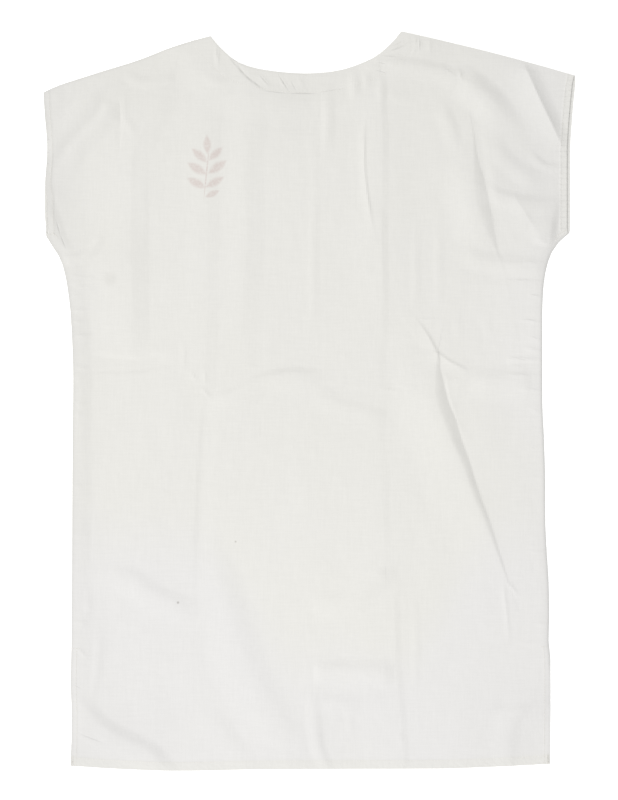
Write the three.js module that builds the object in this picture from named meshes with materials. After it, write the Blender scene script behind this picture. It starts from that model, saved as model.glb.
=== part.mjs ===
// A sauna dress of thin white cotton, laid out flat with its back upwards.
//
// It is cut as two panels, a front and a back, each with its cap sleeves in one piece with
// the body. They are sewn together along the shoulders and the sides, and the side seams
// stop short of the hem and leave a vent. A shaped facing finishes the back neckline.
//
// Millimetres. X runs across the dress, Y from the hem to the neck, Z up from the surface
// that the dress lies on. "up" in the tables is the height above the lowest point of the hem.

import * as THREE from "three";

// ---------------------------------------------------------------- driving dimensions

const DRESS_LENGTH = 886.8; // hem to the higher neck point
const WALL = 1; // one layer of cloth, drawn thicker than the real 0.3
const SEAM_GAP = 0.3; // clearance between two layers
const HEM_TURN = 11; // depth of the bottom hem
const EDGE_TURN = 7; // depth of the sleeve and vent hems
const HEM_EXTRA = 0.5; // what the turned cloth adds to the wall
const FACING_WIDTH = 24; // depth of the back neck facing
const FACING_GAP = 0.4; // clearance between the facing and the back panel
const NECK_STEPS = 28; // straight stretches that a neckline is drawn in
const FRONT_PEEK = 1.5; // how far the front's right sleeve edge shows past the back's
const LOFT = 1.6; // how far the back panel lies off the front, away from the edges
const LOFT_REACH = 26; // distance from an edge over which it rises

const LAYER = WALL + SEAM_GAP;

// Side edges of the body, from the hem corner to the underarm corner.
const BODY_EDGE = {
  left: [
    { at: "hem corner", up: 5, x: -285 },
    { at: "vent", up: 108, x: -285 },
    { at: "vent top", up: 146, x: -283.6 },
    { at: "hip", up: 276, x: -283 },
    { at: "chest", up: 468, x: -282 },
    { at: "underarm curve", up: 564, x: -286.5 },
    { at: "underarm curve", up: 612, x: -296 },
    { at: "underarm corner", up: 641, x: -315 },
  ],
  right: [
    { at: "hem corner", up: 7, x: 288 },
    { at: "vent", up: 130, x: 288.6 },
    { at: "vent top", up: 148, x: 285.2 },
    { at: "hip", up: 228, x: 286 },
    { at: "waist", up: 396, x: 281 },
    { at: "chest", up: 540, x: 278 },
    { at: "underarm curve", up: 588, x: 281 },
    { at: "underarm curve", up: 618, x: 289 },
    { at: "underarm corner", up: 645, x: 312 },
  ],
};

// Sleeve edges, from the underarm corner to the shoulder tip.
const SLEEVE_EDGE = {
  left: [
    { at: "underarm corner", up: 641, x: -315 },
    { at: "lower third", up: 676, x: -317 },
    { at: "middle", up: 742, x: -313 },
    { at: "upper third", up: 788, x: -316.5 },
    { at: "shoulder tip", up: 815, x: -318.6 },
  ],
  right: [
    { at: "underarm corner", up: 645, x: 312 },
    { at: "middle", up: 744, x: 312 },
    { at: "upper third", up: 792, x: 314 },
    { at: "shoulder tip", up: 834, x: 318.6 },
  ],
};

// Shoulder seams, from the sleeve tip to the neck point.
const SHOULDER = {
  left: [
    { at: "tip", x: -318.6, up: 815 },
    { at: "outer", x: -251, up: 838 },
    { at: "inner", x: -179, up: 862 },
    { at: "neck point", x: -118, up: 880 },
  ],
  right: [
    { at: "neck point", x: 110.4, up: 886.8 },
    { at: "inner", x: 205, up: 865 },
    { at: "outer", x: 277, up: 846 },
    { at: "tip", x: 318.6, up: 834 },
  ],
};

// The hem sags a little between its two corners.
const HEM = [
  { at: "left corner", x: -285, up: 5 },
  { at: "left quarter", x: -167, up: 0 },
  { at: "middle", x: 49, up: 2.4 },
  { at: "right quarter", x: 217, up: 4 },
  { at: "right corner", x: 288, up: 7 },
];

// Necklines rise from their lowest point by a power of the distance from the centre.
const NECK_CENTRE = -5;
const BACK_NECK = { low: 836.4, leftPower: 3.3, rightPower: 2.85 };
const FRONT_NECK = { low: 790, leftPower: 2.3, rightPower: 2.2 };

// Lines across the grid of the back panel. Some run straight down the cloth, as its press
// lines do, and one leaves its press line at the waist to follow the large fold.
const LARGE_FOLD_CREST = [
  { up: 0, x: 252 },
  { up: 216, x: 250 },
  { up: 252, x: 229 },
  { up: 288, x: 214 },
  { up: 336, x: 194 },
  { up: 390, x: 176 },
  { up: 439, x: 158 },
  { up: 468, x: 151 },
  { up: 496, x: 154 },
  { up: 516, x: 144 },
  { up: 535, x: 133 },
  { up: 580, x: 101 },
  { up: 800, x: 100 },
  { up: 886.8, x: 110.4 },
];
const SLEEVE_FOLD_LINE = [
  { up: 0, x: 269 },
  { up: 230, x: 265 },
  { up: 500, x: 252 },
  { up: 612, x: 232 },
  { up: 708, x: 211 },
  { up: 845, x: 184 },
];
const LEFT_PRESS_X = -118;
const CENTRE_PRESS_X = 5;
const CREST_SHOULDER = 14; // grid line just left of the large fold's crest
const CREST_FOOT = 11; // grid line at the foot of its steep right flank

// Bands of grid rows: where each starts on either side edge, and its number of rows.
const ROW_BANDS = [
  { from: "hem", left: 5, right: 7, rows: 1 },
  { from: "hem stitching", left: 16, right: 18, rows: 7 },
  { from: "vent top", left: 146, right: 148, rows: 12 },
  { from: "waist", left: 372, right: 372, rows: 9 },
  { from: "chest", left: 540, right: 540, rows: 4 },
  { from: "underarm curve", left: 590, right: 590, rows: 5 },
  { from: "underarm corner", left: 641, right: 645, rows: 6 },
  { from: "sleeve middle", left: 742, right: 750, rows: 4 },
  { from: "below the tip", left: 798, right: 815, rows: 2 },
  { from: "shoulder", left: 815, right: 834, rows: 0 },
];

// Folds of the back panel. A path holds [x, up, size] points. "rise" is the height of its
// ridge, or the depth of a trough below nothing, and "left" and "right" are the widths of
// its flanks as seen along the path, all at size 1. A "roll" meets the cloth on its right at
// an angle, a "crease" has its angle at the ridge, and a "soft" fold has none.
const FOLDS = [
  { name: "large fold", form: "roll", rise: 5.6, left: 58, right: 12,
    path: [[250, 216, 0.2], [229, 252, 0.45], [214, 288, 0.65], [194, 336, 0.85], [176, 390, 1],
      [158, 439, 1], [151, 468, 0.85], [154, 496, 0.5], [144, 516, 0.35], [134, 535, 0.1]] },
  { name: "waist fold, right side", form: "soft", rise: 1.8, left: 30, right: 19,
    path: [[270, 468, 0.4], [258, 468, 0.8], [217, 467, 1], [184, 469, 0.3]] },
  { name: "shoulder tip crease", form: "crease", rise: 4.4, left: 26, right: 17,
    path: [[306, 748, 0.2], [296, 768, 0.8], [289, 780, 1], [277, 804, 1], [265, 829, 1],
      [258, 848, 0.7]] },
  { name: "sleeve line", form: "roll", rise: 3.8, left: 42, right: 16,
    path: [[217, 608, 0.2], [210, 636, 0.9], [204, 666, 1], [199, 696, 1], [193, 726, 0.9],
      [187, 750, 0.7], [181, 774, 0.5], [174, 804, 0.1]] },
  { name: "shoulder roll", form: "soft", rise: 3.6, left: 30, right: 22,
    path: [[254, 752, 0.2], [239, 774, 0.8], [226, 792, 1], [212, 808, 1], [198, 818, 1],
      [180, 830, 0.3]] },
  { name: "sleeve roll, upper", form: "soft", rise: 1.7, left: 17, right: 14,
    path: [[274, 709, 0.3], [258, 715, 1], [244, 725, 1], [232, 738, 1], [219, 760, 0.2]] },
  { name: "sleeve roll, lower", form: "soft", rise: 2.3, left: 24, right: 17,
    path: [[280, 632, 0.3], [265, 658, 1], [253, 674, 1], [241, 686, 1], [223, 696, 0.9],
      [212, 702, 0.2]] },
  { name: "right underarm roll", form: "soft", rise: 3, left: 20, right: 12,
    path: [[281, 630, 0.3], [284, 644, 1], [288, 660, 1], [296, 686, 0.2]] },
  { name: "left sleeve roll", form: "soft", rise: 2, left: 19, right: 13,
    path: [[-310, 728, 0.4], [-299, 749, 1], [-287, 764, 1], [-257, 796, 0.9], [-222, 820, 0.2]] },
  { name: "left underarm roll", form: "soft", rise: 2.5, left: 11, right: 10,
    path: [[-291, 618, 0.2], [-299, 638, 1], [-304, 655, 1], [-307, 674, 0.9], [-311, 694, 0.3]] },
  { name: "waist trough, left", form: "soft", rise: -1.4, left: 17, right: 11,
    path: [[-284, 485, 0.5], [-242, 485, 1], [-209, 485, 1], [-168, 493, 0.1]] },
  { name: "waist fold, middle", form: "soft", rise: 1.8, left: 26, right: 12,
    path: [[22, 469, 0.2], [-7, 473, 0.9], [-29, 470, 1], [-49, 468, 1], [-77, 458, 0.8],
      [-120, 448, 0.2]] },
  { name: "waist fold, right of middle", form: "soft", rise: 1.4, left: 22, right: 13,
    path: [[96, 418, 0.2], [67, 422, 1], [43, 430, 1], [19, 438, 1], [0, 446, 0.1]] },
  { name: "right press line", form: "soft", rise: -0.9, left: 14, right: 14,
    path: [[98, 372, 0.2], [99, 500, 1], [98, 640, 1], [97, 760, 1], [96, 828, 0.2]] },
  { name: "left corner roll", form: "soft", rise: 2.7, left: 30, right: 12,
    path: [[-172, 2, 0.5], [-191, 20, 1], [-209, 30, 1], [-246, 50, 1], [-260, 62, 0.7],
      [-278, 88, 0.1]] },
  { name: "hip sweep", form: "soft", rise: 1.9, left: 46, right: 20,
    path: [[-34, 28, 0.2], [-44, 70, 1], [-59, 88, 1], [-73, 108, 1], [-84, 156, 1],
      [-97, 202, 1], [-120, 240, 0.1]] },
  { name: "left hip fold", form: "soft", rise: 1.6, left: 28, right: 17,
    path: [[-128, 190, 0.2], [-155, 198, 1], [-176, 206, 1], [-205, 226, 0.8], [-244, 228, 0.1]] },
  { name: "lower arc", form: "soft", rise: 1.4, left: 28, right: 14,
    path: [[-8, 202, 0.2], [13, 209, 1], [35, 216, 1], [68, 239, 1], [110, 252, 0.2]] },
  { name: "hem fold", form: "soft", rise: 1.5, left: 20, right: 12,
    path: [[18, 6, 0.8], [8, 30, 1], [5, 60, 0.7], [4, 92, 0.1]] },
  { name: "right corner roll", form: "soft", rise: 1.7, left: 24, right: 13,
    path: [[238, 8, 0.6], [241, 34, 1], [248, 54, 1], [263, 72, 0.9], [280, 84, 0.2]] },
];

const COLOUR = { panel: 0xeceae4, facing: 0xeeece6 };
const ROUGHNESS = 0.92;

// ---------------------------------------------------------------- small functions

const mix = (a, b, share) => a + (b - a) * share;

function smoothStep(low, high, value) {
  const share = Math.min(Math.max((value - low) / (high - low), 0), 1);
  return share * share * (3 - 2 * share);
}

// Straight lines between the rows of a table, read from one named column to another.
function straight(table, from, to) {
  return (value) => {
    const last = table.length - 2;
    let row = 0;
    while (row < last && value > table[row + 1][from]) row += 1;
    const share = (value - table[row][from]) / (table[row + 1][from] - table[row][from]);
    return mix(table[row][to], table[row + 1][to], Math.min(Math.max(share, 0), 1));
  };
}

// A smooth curve through the rows of a table that never swings past them.
function smooth(table, from, to) {
  const slopes = table.slice(1).map((row, i) => (row[to] - table[i][to]) / (row[from] - table[i][from]));
  const tangents = table.map((_, i) => {
    if (i === 0) return slopes[0];
    if (i === slopes.length) return slopes[i - 1];
    if (slopes[i - 1] * slopes[i] <= 0) return 0;
    return 2 / (1 / slopes[i - 1] + 1 / slopes[i]);
  });
  return (value) => {
    let row = 0;
    while (row < table.length - 2 && value > table[row + 1][from]) row += 1;
    const span = table[row + 1][from] - table[row][from];
    const t = Math.min(Math.max((value - table[row][from]) / span, 0), 1);
    const away = t * t * (3 - 2 * t);
    const leave = t * (1 - t) * (1 - t) * span * tangents[row];
    const arrive = t * t * (1 - t) * span * tangents[row + 1];
    return mix(table[row][to], table[row + 1][to], away) + leave - arrive;
  };
}

// ---------------------------------------------------------------- outline

const bodyEdge = {
  left: smooth(BODY_EDGE.left, "up", "x"),
  right: smooth(BODY_EDGE.right, "up", "x"),
};
const sleeveEdge = {
  left: smooth(SLEEVE_EDGE.left, "up", "x"),
  right: smooth(SLEEVE_EDGE.right, "up", "x"),
};
const underarm = { left: SLEEVE_EDGE.left[0].up, right: SLEEVE_EDGE.right[0].up };
const shoulder = {
  left: smooth(SHOULDER.left, "x", "up"),
  right: smooth(SHOULDER.right, "x", "up"),
};
const neckPoint = { left: SHOULDER.left.at(-1), right: SHOULDER.right[0] };
const hemHeight = smooth(HEM, "x", "up");

function edgeX(side, up) {
  return up < underarm[side] ? bodyEdge[side](up) : sleeveEdge[side](up);
}

function neckHeight(neck, x) {
  const side = x < NECK_CENTRE ? "left" : "right";
  const power = side === "left" ? neck.leftPower : neck.rightPower;
  const share = (x - NECK_CENTRE) / (neckPoint[side].x - NECK_CENTRE);
  return neck.low + (neckPoint[side].up - neck.low) * share ** power;
}

function topHeight(neck, x) {
  if (x <= neckPoint.left.x) return shoulder.left(x);
  if (x >= neckPoint.right.x) return shoulder.right(x);
  return neckHeight(neck, x);
}

// Points along the neckline, from one neck point to the other, closer where it is steep.
function neckline(neck, count) {
  return Array.from({ length: count + 1 }, (_, i) => {
    const share = (1 - Math.cos((Math.PI * i) / count)) / 2;
    const x = mix(neckPoint.left.x, neckPoint.right.x, share);
    return new THREE.Vector2(x, neckHeight(neck, x));
  });
}

// ---------------------------------------------------------------- how the back panel lies

const NECK_SAMPLES = neckline(BACK_NECK, 40);

function neckDistance(x, up) {
  return Math.min(...NECK_SAMPLES.map((point) => Math.hypot(point.x - x, point.y - up)));
}

// How far a point is above the front's neckline, where no front panel lies under it.
function aboveFrontNeck(x, up) {
  const inside = x > neckPoint.left.x && x < neckPoint.right.x;
  return inside ? up - neckHeight(FRONT_NECK, x) : 0;
}

// The layers that lie under a point: the front panel, and the facing near the neckline.
function layersUnder(x, up) {
  const facing = 1 - smoothStep(FACING_WIDTH + 8, FACING_WIDTH + 44, neckDistance(x, up));
  const bare = smoothStep(8, 34, aboveFrontNeck(x, up));
  return LAYER * (1 - bare) + (LAYER + FACING_GAP - SEAM_GAP) * facing;
}

// Where a point lies against a fold: its distance from the path, on which side it is, and
// the size of the fold there.
function againstFold(path, x, up) {
  let nearest = { distance: Infinity };
  for (let i = 0; i < path.length - 1; i += 1) {
    const [x0, up0, size0] = path[i];
    const [x1, up1, size1] = path[i + 1];
    const along = [x1 - x0, up1 - up0];
    const reach = ((x - x0) * along[0] + (up - up0) * along[1]) / (along[0] ** 2 + along[1] ** 2);
    const share = Math.min(Math.max(reach, 0), 1);
    const away = [x - x0 - along[0] * share, up - up0 - along[1] * share];
    const distance = Math.hypot(...away);
    if (distance < nearest.distance) {
      const onLeft = along[0] * away[1] - along[1] * away[0] > 0;
      nearest = { distance, onLeft, size: mix(size0, size1, share) };
    }
  }
  return nearest;
}

// Height of a flank at a share of the way from the ridge to its foot.
const FLANK = {
  soft: (share) => (1 + Math.cos(Math.PI * share)) / 2,
  roll: (share) => Math.cos((Math.PI * share) / 2),
  crease: (share) => (1 - share) ** 2,
};

function foldHeight(fold, x, up) {
  const at = againstFold(fold.path, x, up);
  const width = at.onLeft ? fold.left : fold.right * mix(0.5, 1, at.size);
  if (at.distance >= width) return 0;
  const form = at.onLeft ? "soft" : fold.form;
  return fold.rise * at.size * FLANK[form](at.distance / width);
}

// The cloth lies close at its edges and off the front panel in between.
function edgeRise(x, up) {
  const toSide = Math.min(x - edgeX("left", up), edgeX("right", up) - x);
  const toEnd = Math.min(up - hemHeight(x), topHeight(BACK_NECK, x) - up);
  const nearest = Math.max(Math.min(toSide, toEnd), 0);
  return 1 - Math.exp(-nearest / LOFT_REACH);
}

// Height of the underside of the back panel above the surface.
function backUnderside(x, up) {
  const folds = FOLDS.reduce((sum, fold) => sum + foldHeight(fold, x, up), 0);
  const rise = edgeRise(x, up);
  const free = LOFT * rise + folds * Math.min(rise * 3, 1);
  return layersUnder(x, up) + Math.max(free, 0);
}

// ---------------------------------------------------------------- cloth from a grid

// A closed wall of cloth over a grid of points, each with x, up, low and high.
function clothWall(grid) {
  const rows = grid.length;
  const columns = grid[0].length;
  const positions = [];
  for (const face of ["high", "low"]) {
    for (const row of grid) {
      for (const point of row) positions.push(point.x, point.up - DRESS_LENGTH / 2, point[face]);
    }
  }
  const last = columns - 1;
  const at = (face, row, column) => face * rows * columns + row * columns + column;
  const index = [];
  const quad = (a, b, c, d) => index.push(a, b, c, a, c, d);
  for (let r = 0; r < rows - 1; r += 1) {
    for (let c = 0; c < columns - 1; c += 1) {
      quad(at(0, r, c), at(0, r, c + 1), at(0, r + 1, c + 1), at(0, r + 1, c));
      quad(at(1, r, c), at(1, r + 1, c), at(1, r + 1, c + 1), at(1, r, c + 1));
    }
  }
  for (let c = 0; c < columns - 1; c += 1) {
    quad(at(1, 0, c), at(1, 0, c + 1), at(0, 0, c + 1), at(0, 0, c));
    quad(at(0, rows - 1, c), at(0, rows - 1, c + 1), at(1, rows - 1, c + 1), at(1, rows - 1, c));
  }
  for (let r = 0; r < rows - 1; r += 1) {
    quad(at(0, r, 0), at(0, r + 1, 0), at(1, r + 1, 0), at(1, r, 0));
    quad(at(1, r, last), at(1, r + 1, last), at(0, r + 1, last), at(0, r, last));
  }
  const geometry = new THREE.BufferGeometry();
  geometry.setAttribute("position", new THREE.Float32BufferAttribute(positions, 3));
  geometry.setIndex(index);
  geometry.computeVertexNormals();
  return geometry;
}

function clothMesh(name, geometry, color) {
  const material = new THREE.MeshStandardMaterial({ color, roughness: ROUGHNESS, metalness: 0 });
  const mesh = new THREE.Mesh(geometry, material);
  mesh.name = name;
  return mesh;
}

// ---------------------------------------------------------------- back panel

const crestX = straight(LARGE_FOLD_CREST, "up", "x");
const sleeveFoldX = straight(SLEEVE_FOLD_LINE, "up", "x");

// Grid lines that run from the hem to the shoulder, and the cells from each to the next.
const COLUMN_LINES = [
  { line: (up) => edgeX("left", up), cells: 1 },
  { line: (up) => edgeX("left", up) + EDGE_TURN, cells: 10 },
  { line: () => LEFT_PRESS_X, cells: 8 },
  { line: () => CENTRE_PRESS_X, cells: 7 },
  { line: (up) => crestX(up) - CREST_SHOULDER, cells: 1 },
  { line: crestX, cells: 1 },
  { line: (up) => crestX(up) + CREST_FOOT, cells: 4 },
  { line: sleeveFoldX, cells: 5 },
  { line: (up) => edgeX("right", up) - EDGE_TURN, cells: 1 },
  { line: (up) => edgeX("right", up), cells: 0 },
];

// Every column of the grid as a place between two grid lines.
function gridColumns() {
  return COLUMN_LINES.flatMap(({ cells }, line) => {
    const count = line === COLUMN_LINES.length - 1 ? 1 : cells;
    return Array.from({ length: count }, (_, i) => ({ line, share: cells ? i / cells : 0 }));
  });
}

function columnX(column, up) {
  const from = COLUMN_LINES[column.line].line(up);
  const next = COLUMN_LINES[column.line + 1];
  return next ? mix(from, next.line(up), column.share) : from;
}

// Every row of the grid as its height on the left and the right side edge.
function gridRows() {
  return ROW_BANDS.flatMap((band, i) => {
    const next = ROW_BANDS[i + 1];
    if (!next) return [band];
    return Array.from({ length: band.rows }, (_, row) => ({
      left: mix(band.left, next.left, row / band.rows),
      right: mix(band.right, next.right, row / band.rows),
    }));
  });
}

// Rows bend from the hem's curve at the bottom to the shoulders and the neck at the top.
function backGrid() {
  const rows = gridRows();
  const hem = rows[0];
  const tip = rows.at(-1);
  const tipX = { left: SHOULDER.left[0].x, right: SHOULDER.right.at(-1).x };
  const columns = gridColumns().map((column) => {
    const topX = columnX(column, DRESS_LENGTH);
    const hemX = columnX(column, 0);
    const across = (topX - tipX.left) / (tipX.right - tipX.left);
    const hemBend = hemHeight(hemX) - mix(hem.left, hem.right, across);
    const topBend = topHeight(BACK_NECK, topX) - mix(tip.left, tip.right, across);
    return { ...column, across, hemBend, topBend };
  });
  return rows.map((row) => columns.map((column) => {
    const share = (row.left - hem.left) / (tip.left - hem.left);
    const level = mix(row.left, row.right, column.across);
    const up = level + column.hemBend * (1 - share) + column.topBend * share;
    return { x: columnX(column, up), up };
  }));
}

// The wall is thicker where a hem turns it in: at the bottom, the vents and the sleeves.
function backWall(x, up) {
  const toSide = Math.min(x - edgeX("left", up), edgeX("right", up) - x);
  const atHem = up - hemHeight(x) < HEM_TURN + 1;
  const openSide = up < BODY_EDGE.left[2].up || up > underarm.left;
  const atSide = openSide && toSide < EDGE_TURN + 0.01;
  return atHem || atSide ? WALL + HEM_EXTRA : WALL;
}

function backPanel() {
  const grid = backGrid().map((row) => row.map(({ x, up }) => {
    const low = backUnderside(x, up);
    return { x, up, low, high: low + backWall(x, up) };
  }));
  return clothMesh("back_panel", clothWall(grid), COLOUR.panel);
}

// ---------------------------------------------------------------- back neck facing

// The band leaves the neckline at a right angle, and along the shoulder seam at its ends.
function facingDirection(points, i) {
  const last = points.length - 1;
  const before = points[Math.max(i - 1, 0)];
  const after = points[Math.min(i + 1, last)];
  const square = new THREE.Vector2(after.y - before.y, before.x - after.x).normalize();
  const ends = [[SHOULDER.left.at(-2), neckPoint.left, i], [SHOULDER.right[1], neckPoint.right, last - i]];
  for (const [outer, point, steps] of ends) {
    const seam = new THREE.Vector2(outer.x - point.x, outer.up - point.up).normalize();
    square.lerp(seam, 1 - smoothStep(0, 6, steps));
  }
  return square.normalize();
}

function backNeckFacing() {
  const points = neckline(BACK_NECK, NECK_STEPS);
  const across = [1, 0.66, 0.33, 0];
  const grid = across.map((share) => points.map((point, i) => {
    const place = point.clone().addScaledVector(facingDirection(points, i), share * FACING_WIDTH);
    const high = backUnderside(place.x, place.y) - FACING_GAP;
    return { x: place.x, up: place.y, low: high - WALL, high };
  }));
  return clothMesh("back_neck_facing", clothWall(grid), COLOUR.facing);
}

// ---------------------------------------------------------------- front panel

// The right sleeve of the front reaches a little past the back's, between its two ends.
function frontEdge(side, up) {
  const x = edgeX(side, up);
  if (side === "left" || up < underarm.right) return x;
  const share = (up - underarm.right) / (SLEEVE_EDGE.right.at(-1).up - underarm.right);
  return x + FRONT_PEEK * Math.sin(Math.PI * share);
}

function frontPanel() {
  const rows = gridRows();
  const columns = gridColumns();
  const hemX = columns.map((column) => columnX(column, 0));
  const shoulderX = columns.map((column) => columnX(column, DRESS_LENGTH)).reverse();
  const rightShoulder = shoulderX.filter((x) => x > neckPoint.right.x);
  const leftShoulder = shoulderX.filter((x) => x < neckPoint.left.x);
  const outline = [
    ...hemX.map((x) => [x, hemHeight(x)]),
    ...rows.slice(1, -1).map((row) => [frontEdge("right", row.right), row.right]),
    ...rightShoulder.map((x) => [x, shoulder.right(x)]),
    ...neckline(FRONT_NECK, NECK_STEPS).reverse().map((point) => [point.x, point.y]),
    ...leftShoulder.map((x) => [x, shoulder.left(x)]),
    ...rows.slice(1, -1).reverse().map((row) => [frontEdge("left", row.left), row.left]),
  ];
  const shape = new THREE.Shape(outline.map(([x, up]) => new THREE.Vector2(x, up - DRESS_LENGTH / 2)));
  const geometry = new THREE.ExtrudeGeometry(shape, { depth: WALL, bevelEnabled: false });
  return clothMesh("front_panel", geometry, COLOUR.panel);
}

// ---------------------------------------------------------------- the dress

const dress = new THREE.Group();
dress.add(frontPanel(), backNeckFacing(), backPanel());

export default dress;
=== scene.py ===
# %% [markdown]
# # A sauna dress, laid out flat
#
# The real thing is a thin white cotton dress, cut as two panels with its cap sleeves in one
# piece with the body. It lies on its front, pressed flat, so what shows is the back panel,
# the layer under it peeping out at the sleeves, and the rows of stitches along its hems.
#
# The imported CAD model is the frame: every piece here takes its place and its size from it.
# Tables are in millimetres, as a pattern cutter writes them, with x across the dress from
# its middle and "up" above the lowest point of the hem. Meshes are in metres.

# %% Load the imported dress
import math

import bpy
import numpy as np
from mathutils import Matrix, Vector


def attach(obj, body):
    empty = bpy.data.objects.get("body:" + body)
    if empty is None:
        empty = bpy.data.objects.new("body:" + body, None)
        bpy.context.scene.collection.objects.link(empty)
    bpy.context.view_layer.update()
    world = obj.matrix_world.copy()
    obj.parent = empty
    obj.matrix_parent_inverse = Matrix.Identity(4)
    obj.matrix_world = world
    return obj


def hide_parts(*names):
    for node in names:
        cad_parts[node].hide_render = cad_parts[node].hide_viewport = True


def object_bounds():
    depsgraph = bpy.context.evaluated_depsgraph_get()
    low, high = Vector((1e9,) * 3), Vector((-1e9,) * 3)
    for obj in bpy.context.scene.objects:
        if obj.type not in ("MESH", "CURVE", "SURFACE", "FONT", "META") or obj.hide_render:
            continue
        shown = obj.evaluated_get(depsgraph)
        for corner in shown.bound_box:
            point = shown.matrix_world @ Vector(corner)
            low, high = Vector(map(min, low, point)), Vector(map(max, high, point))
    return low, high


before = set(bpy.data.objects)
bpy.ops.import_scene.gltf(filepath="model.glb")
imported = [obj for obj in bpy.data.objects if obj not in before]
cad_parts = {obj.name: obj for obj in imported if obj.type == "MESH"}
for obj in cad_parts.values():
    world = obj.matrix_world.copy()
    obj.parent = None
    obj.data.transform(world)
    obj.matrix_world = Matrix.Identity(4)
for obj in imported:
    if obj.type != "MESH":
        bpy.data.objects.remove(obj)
cad_low, cad_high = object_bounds()
MM = 0.001
LENGTH = (cad_high.y - cad_low.y) / MM
scene = bpy.context.scene

# %% [markdown]
# ## Camera
#
# A garment that is laid flat is looked at from straight above. A short lens would spread the
# sleeves, so the camera stands three metres up with a long lens. Its view is set from the
# dress: as much air is left above and below it as a catalogue picture leaves.

# %% Camera
CAMERA_HEIGHT = 3.0  # metres
VIEW_LENGTH = 0.96  # metres of the floor that fit in the height of the picture
SENSOR = 36  # mm, along the picture's longer side
AIM_UP = 1.4  # mm, how far above the dress's middle the camera stands

camera_data = bpy.data.cameras.new("overhead camera")
camera_data.sensor_width = SENSOR
camera_data.lens = SENSOR * CAMERA_HEIGHT / VIEW_LENGTH
camera = bpy.data.objects.new("overhead camera", camera_data)
camera.location = (0, (cad_low.y + cad_high.y) / 2 + AIM_UP * MM, CAMERA_HEIGHT)
scene.collection.objects.link(camera)
scene.camera = camera
print(f"camera {CAMERA_HEIGHT} m up, {camera_data.lens:.1f} mm lens")

# %% [markdown]
# ## The outline
#
# The outline could be read off the CAD mesh, but its points are further apart than the cloth
# here needs. So the curves that the pattern was drawn with are written down again: a few
# points each, with a smooth curve through them that never swings past a point.

# %% Outline of the dress
BODY_LEFT = [(6, -286.3), (36, -285.1), (66, -284.7), (108, -285.9), (146, -285.1), (276, -284.2),
             (396, -283.6), (468, -282.8), (540, -285.4), (583, -290.3), (612, -297.4),
             (626, -305.7), (641, -315.3)]  # up, x from the hem corner to the underarm corner
BODY_RIGHT = [(8.2, 289.3), (132, 289.6), (156, 287.5), (190, 288.2), (228, 287.4), (258, 285.5),
              (300, 283.5), (348, 283.3), (396, 281.9), (444, 279.9), (540, 279.7), (576, 280.9),
              (597, 283.5), (619, 289.9), (633, 298.9), (645, 311.3)]
SLEEVE_LEFT = [(641, -315.3), (676, -317.1), (700, -316.8), (746, -313.9), (788, -317),
               (813.6, -318.6)]  # up, x
SLEEVE_RIGHT = [(645, 311.3), (700, 311.3), (744, 311.3), (777, 313.2), (797, 314.8), (834, 318.6)]
SHOULDER_LEFT = [(-318.6, 813.6), (-309, 818.4), (-295, 824), (-284, 827.5), (-251, 838),
                 (-203, 853), (-167, 867), (-131, 877.8), (-118, 881)]  # x, up
SHOULDER_RIGHT = [(110.4, 886.8), (157, 876.4), (205, 865), (277, 846), (318.6, 834)]
HEM = [(-286.3, 6), (-227, 2.3), (-155, 0), (-59, 1.7), (37, 2.2), (157, 2.6), (205, 4.2),
       (289.3, 8.2)]  # x, up
BACK_NECK = [(-118, 881), (-109, 870), (-99.6, 860.8), (-87.6, 851), (-71, 844.6), (-51.6, 840.4),
             (-28, 837.6), (-5, 836.4), (16, 837.4), (37, 840.4), (61, 848), (80.4, 857.2),
             (94.8, 869), (102, 876), (110.4, 886.8)]  # x, up
FRONT_NECK = [(-118, 881), (-101, 852.6), (-84, 830), (-61.5, 808.5), (-33, 793.7), (-5, 790),
              (24, 794.6), (52.7, 811.1), (76, 834.2), (93, 857.7), (110.4, 886.8)]
UNDERARM = {"left": 641, "right": 645}
VENT_TOP = {"left": 146, "right": 148}
NECK_LEFT, NECK_RIGHT = SHOULDER_LEFT[-1], SHOULDER_RIGHT[0]
print(f"neck opening {NECK_RIGHT[0] - NECK_LEFT[0]:.0f} mm wide")

# %% [markdown]
# Each table becomes a curve that can be asked for any place along it, and from the curves
# come the side edges and the upper edge, which later steps measure their distances from.


# %% Curves of the outline
def smooth(points):
    """A smooth curve through a table of points that never swings past one."""
    at, value = np.array(points, float).T
    slope = np.diff(value) / np.diff(at)
    before, after = slope[:-1], slope[1:]
    one_way = before * after > 0
    inner = np.zeros(len(before))
    inner[one_way] = 2 / (1 / before[one_way] + 1 / after[one_way])
    tangent = np.concatenate([slope[:1], inner, slope[-1:]])

    def curve(place):
        place = np.asarray(place, float)
        i = np.clip(np.searchsorted(at, place) - 1, 0, len(at) - 2)
        span = at[i + 1] - at[i]
        t = np.clip((place - at[i]) / span, 0, 1)
        away = t * t * (3 - 2 * t)
        leave = t * (1 - t) ** 2 * span * tangent[i]
        arrive = t * t * (1 - t) * span * tangent[i + 1]
        return value[i] * (1 - away) + value[i + 1] * away + leave - arrive

    return curve


def smooth_step(low, high, value):
    """0 up to "low" and 1 from "high" on, with a smooth rise between them."""
    share = np.clip((np.asarray(value, float) - low) / (high - low), 0, 1)
    return share * share * (3 - 2 * share)


def stretch(start, end, value):
    """1 along a stretch that fades in over one span and out over another."""
    return smooth_step(*start, value) * (1 - smooth_step(*end, value))


body_edge = {"left": smooth(BODY_LEFT), "right": smooth(BODY_RIGHT)}
sleeve_edge = {"left": smooth(SLEEVE_LEFT), "right": smooth(SLEEVE_RIGHT)}
shoulder_left, shoulder_right = smooth(SHOULDER_LEFT), smooth(SHOULDER_RIGHT)
back_neck, front_neck = smooth(BACK_NECK), smooth(FRONT_NECK)
hem_height = smooth(HEM)


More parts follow.
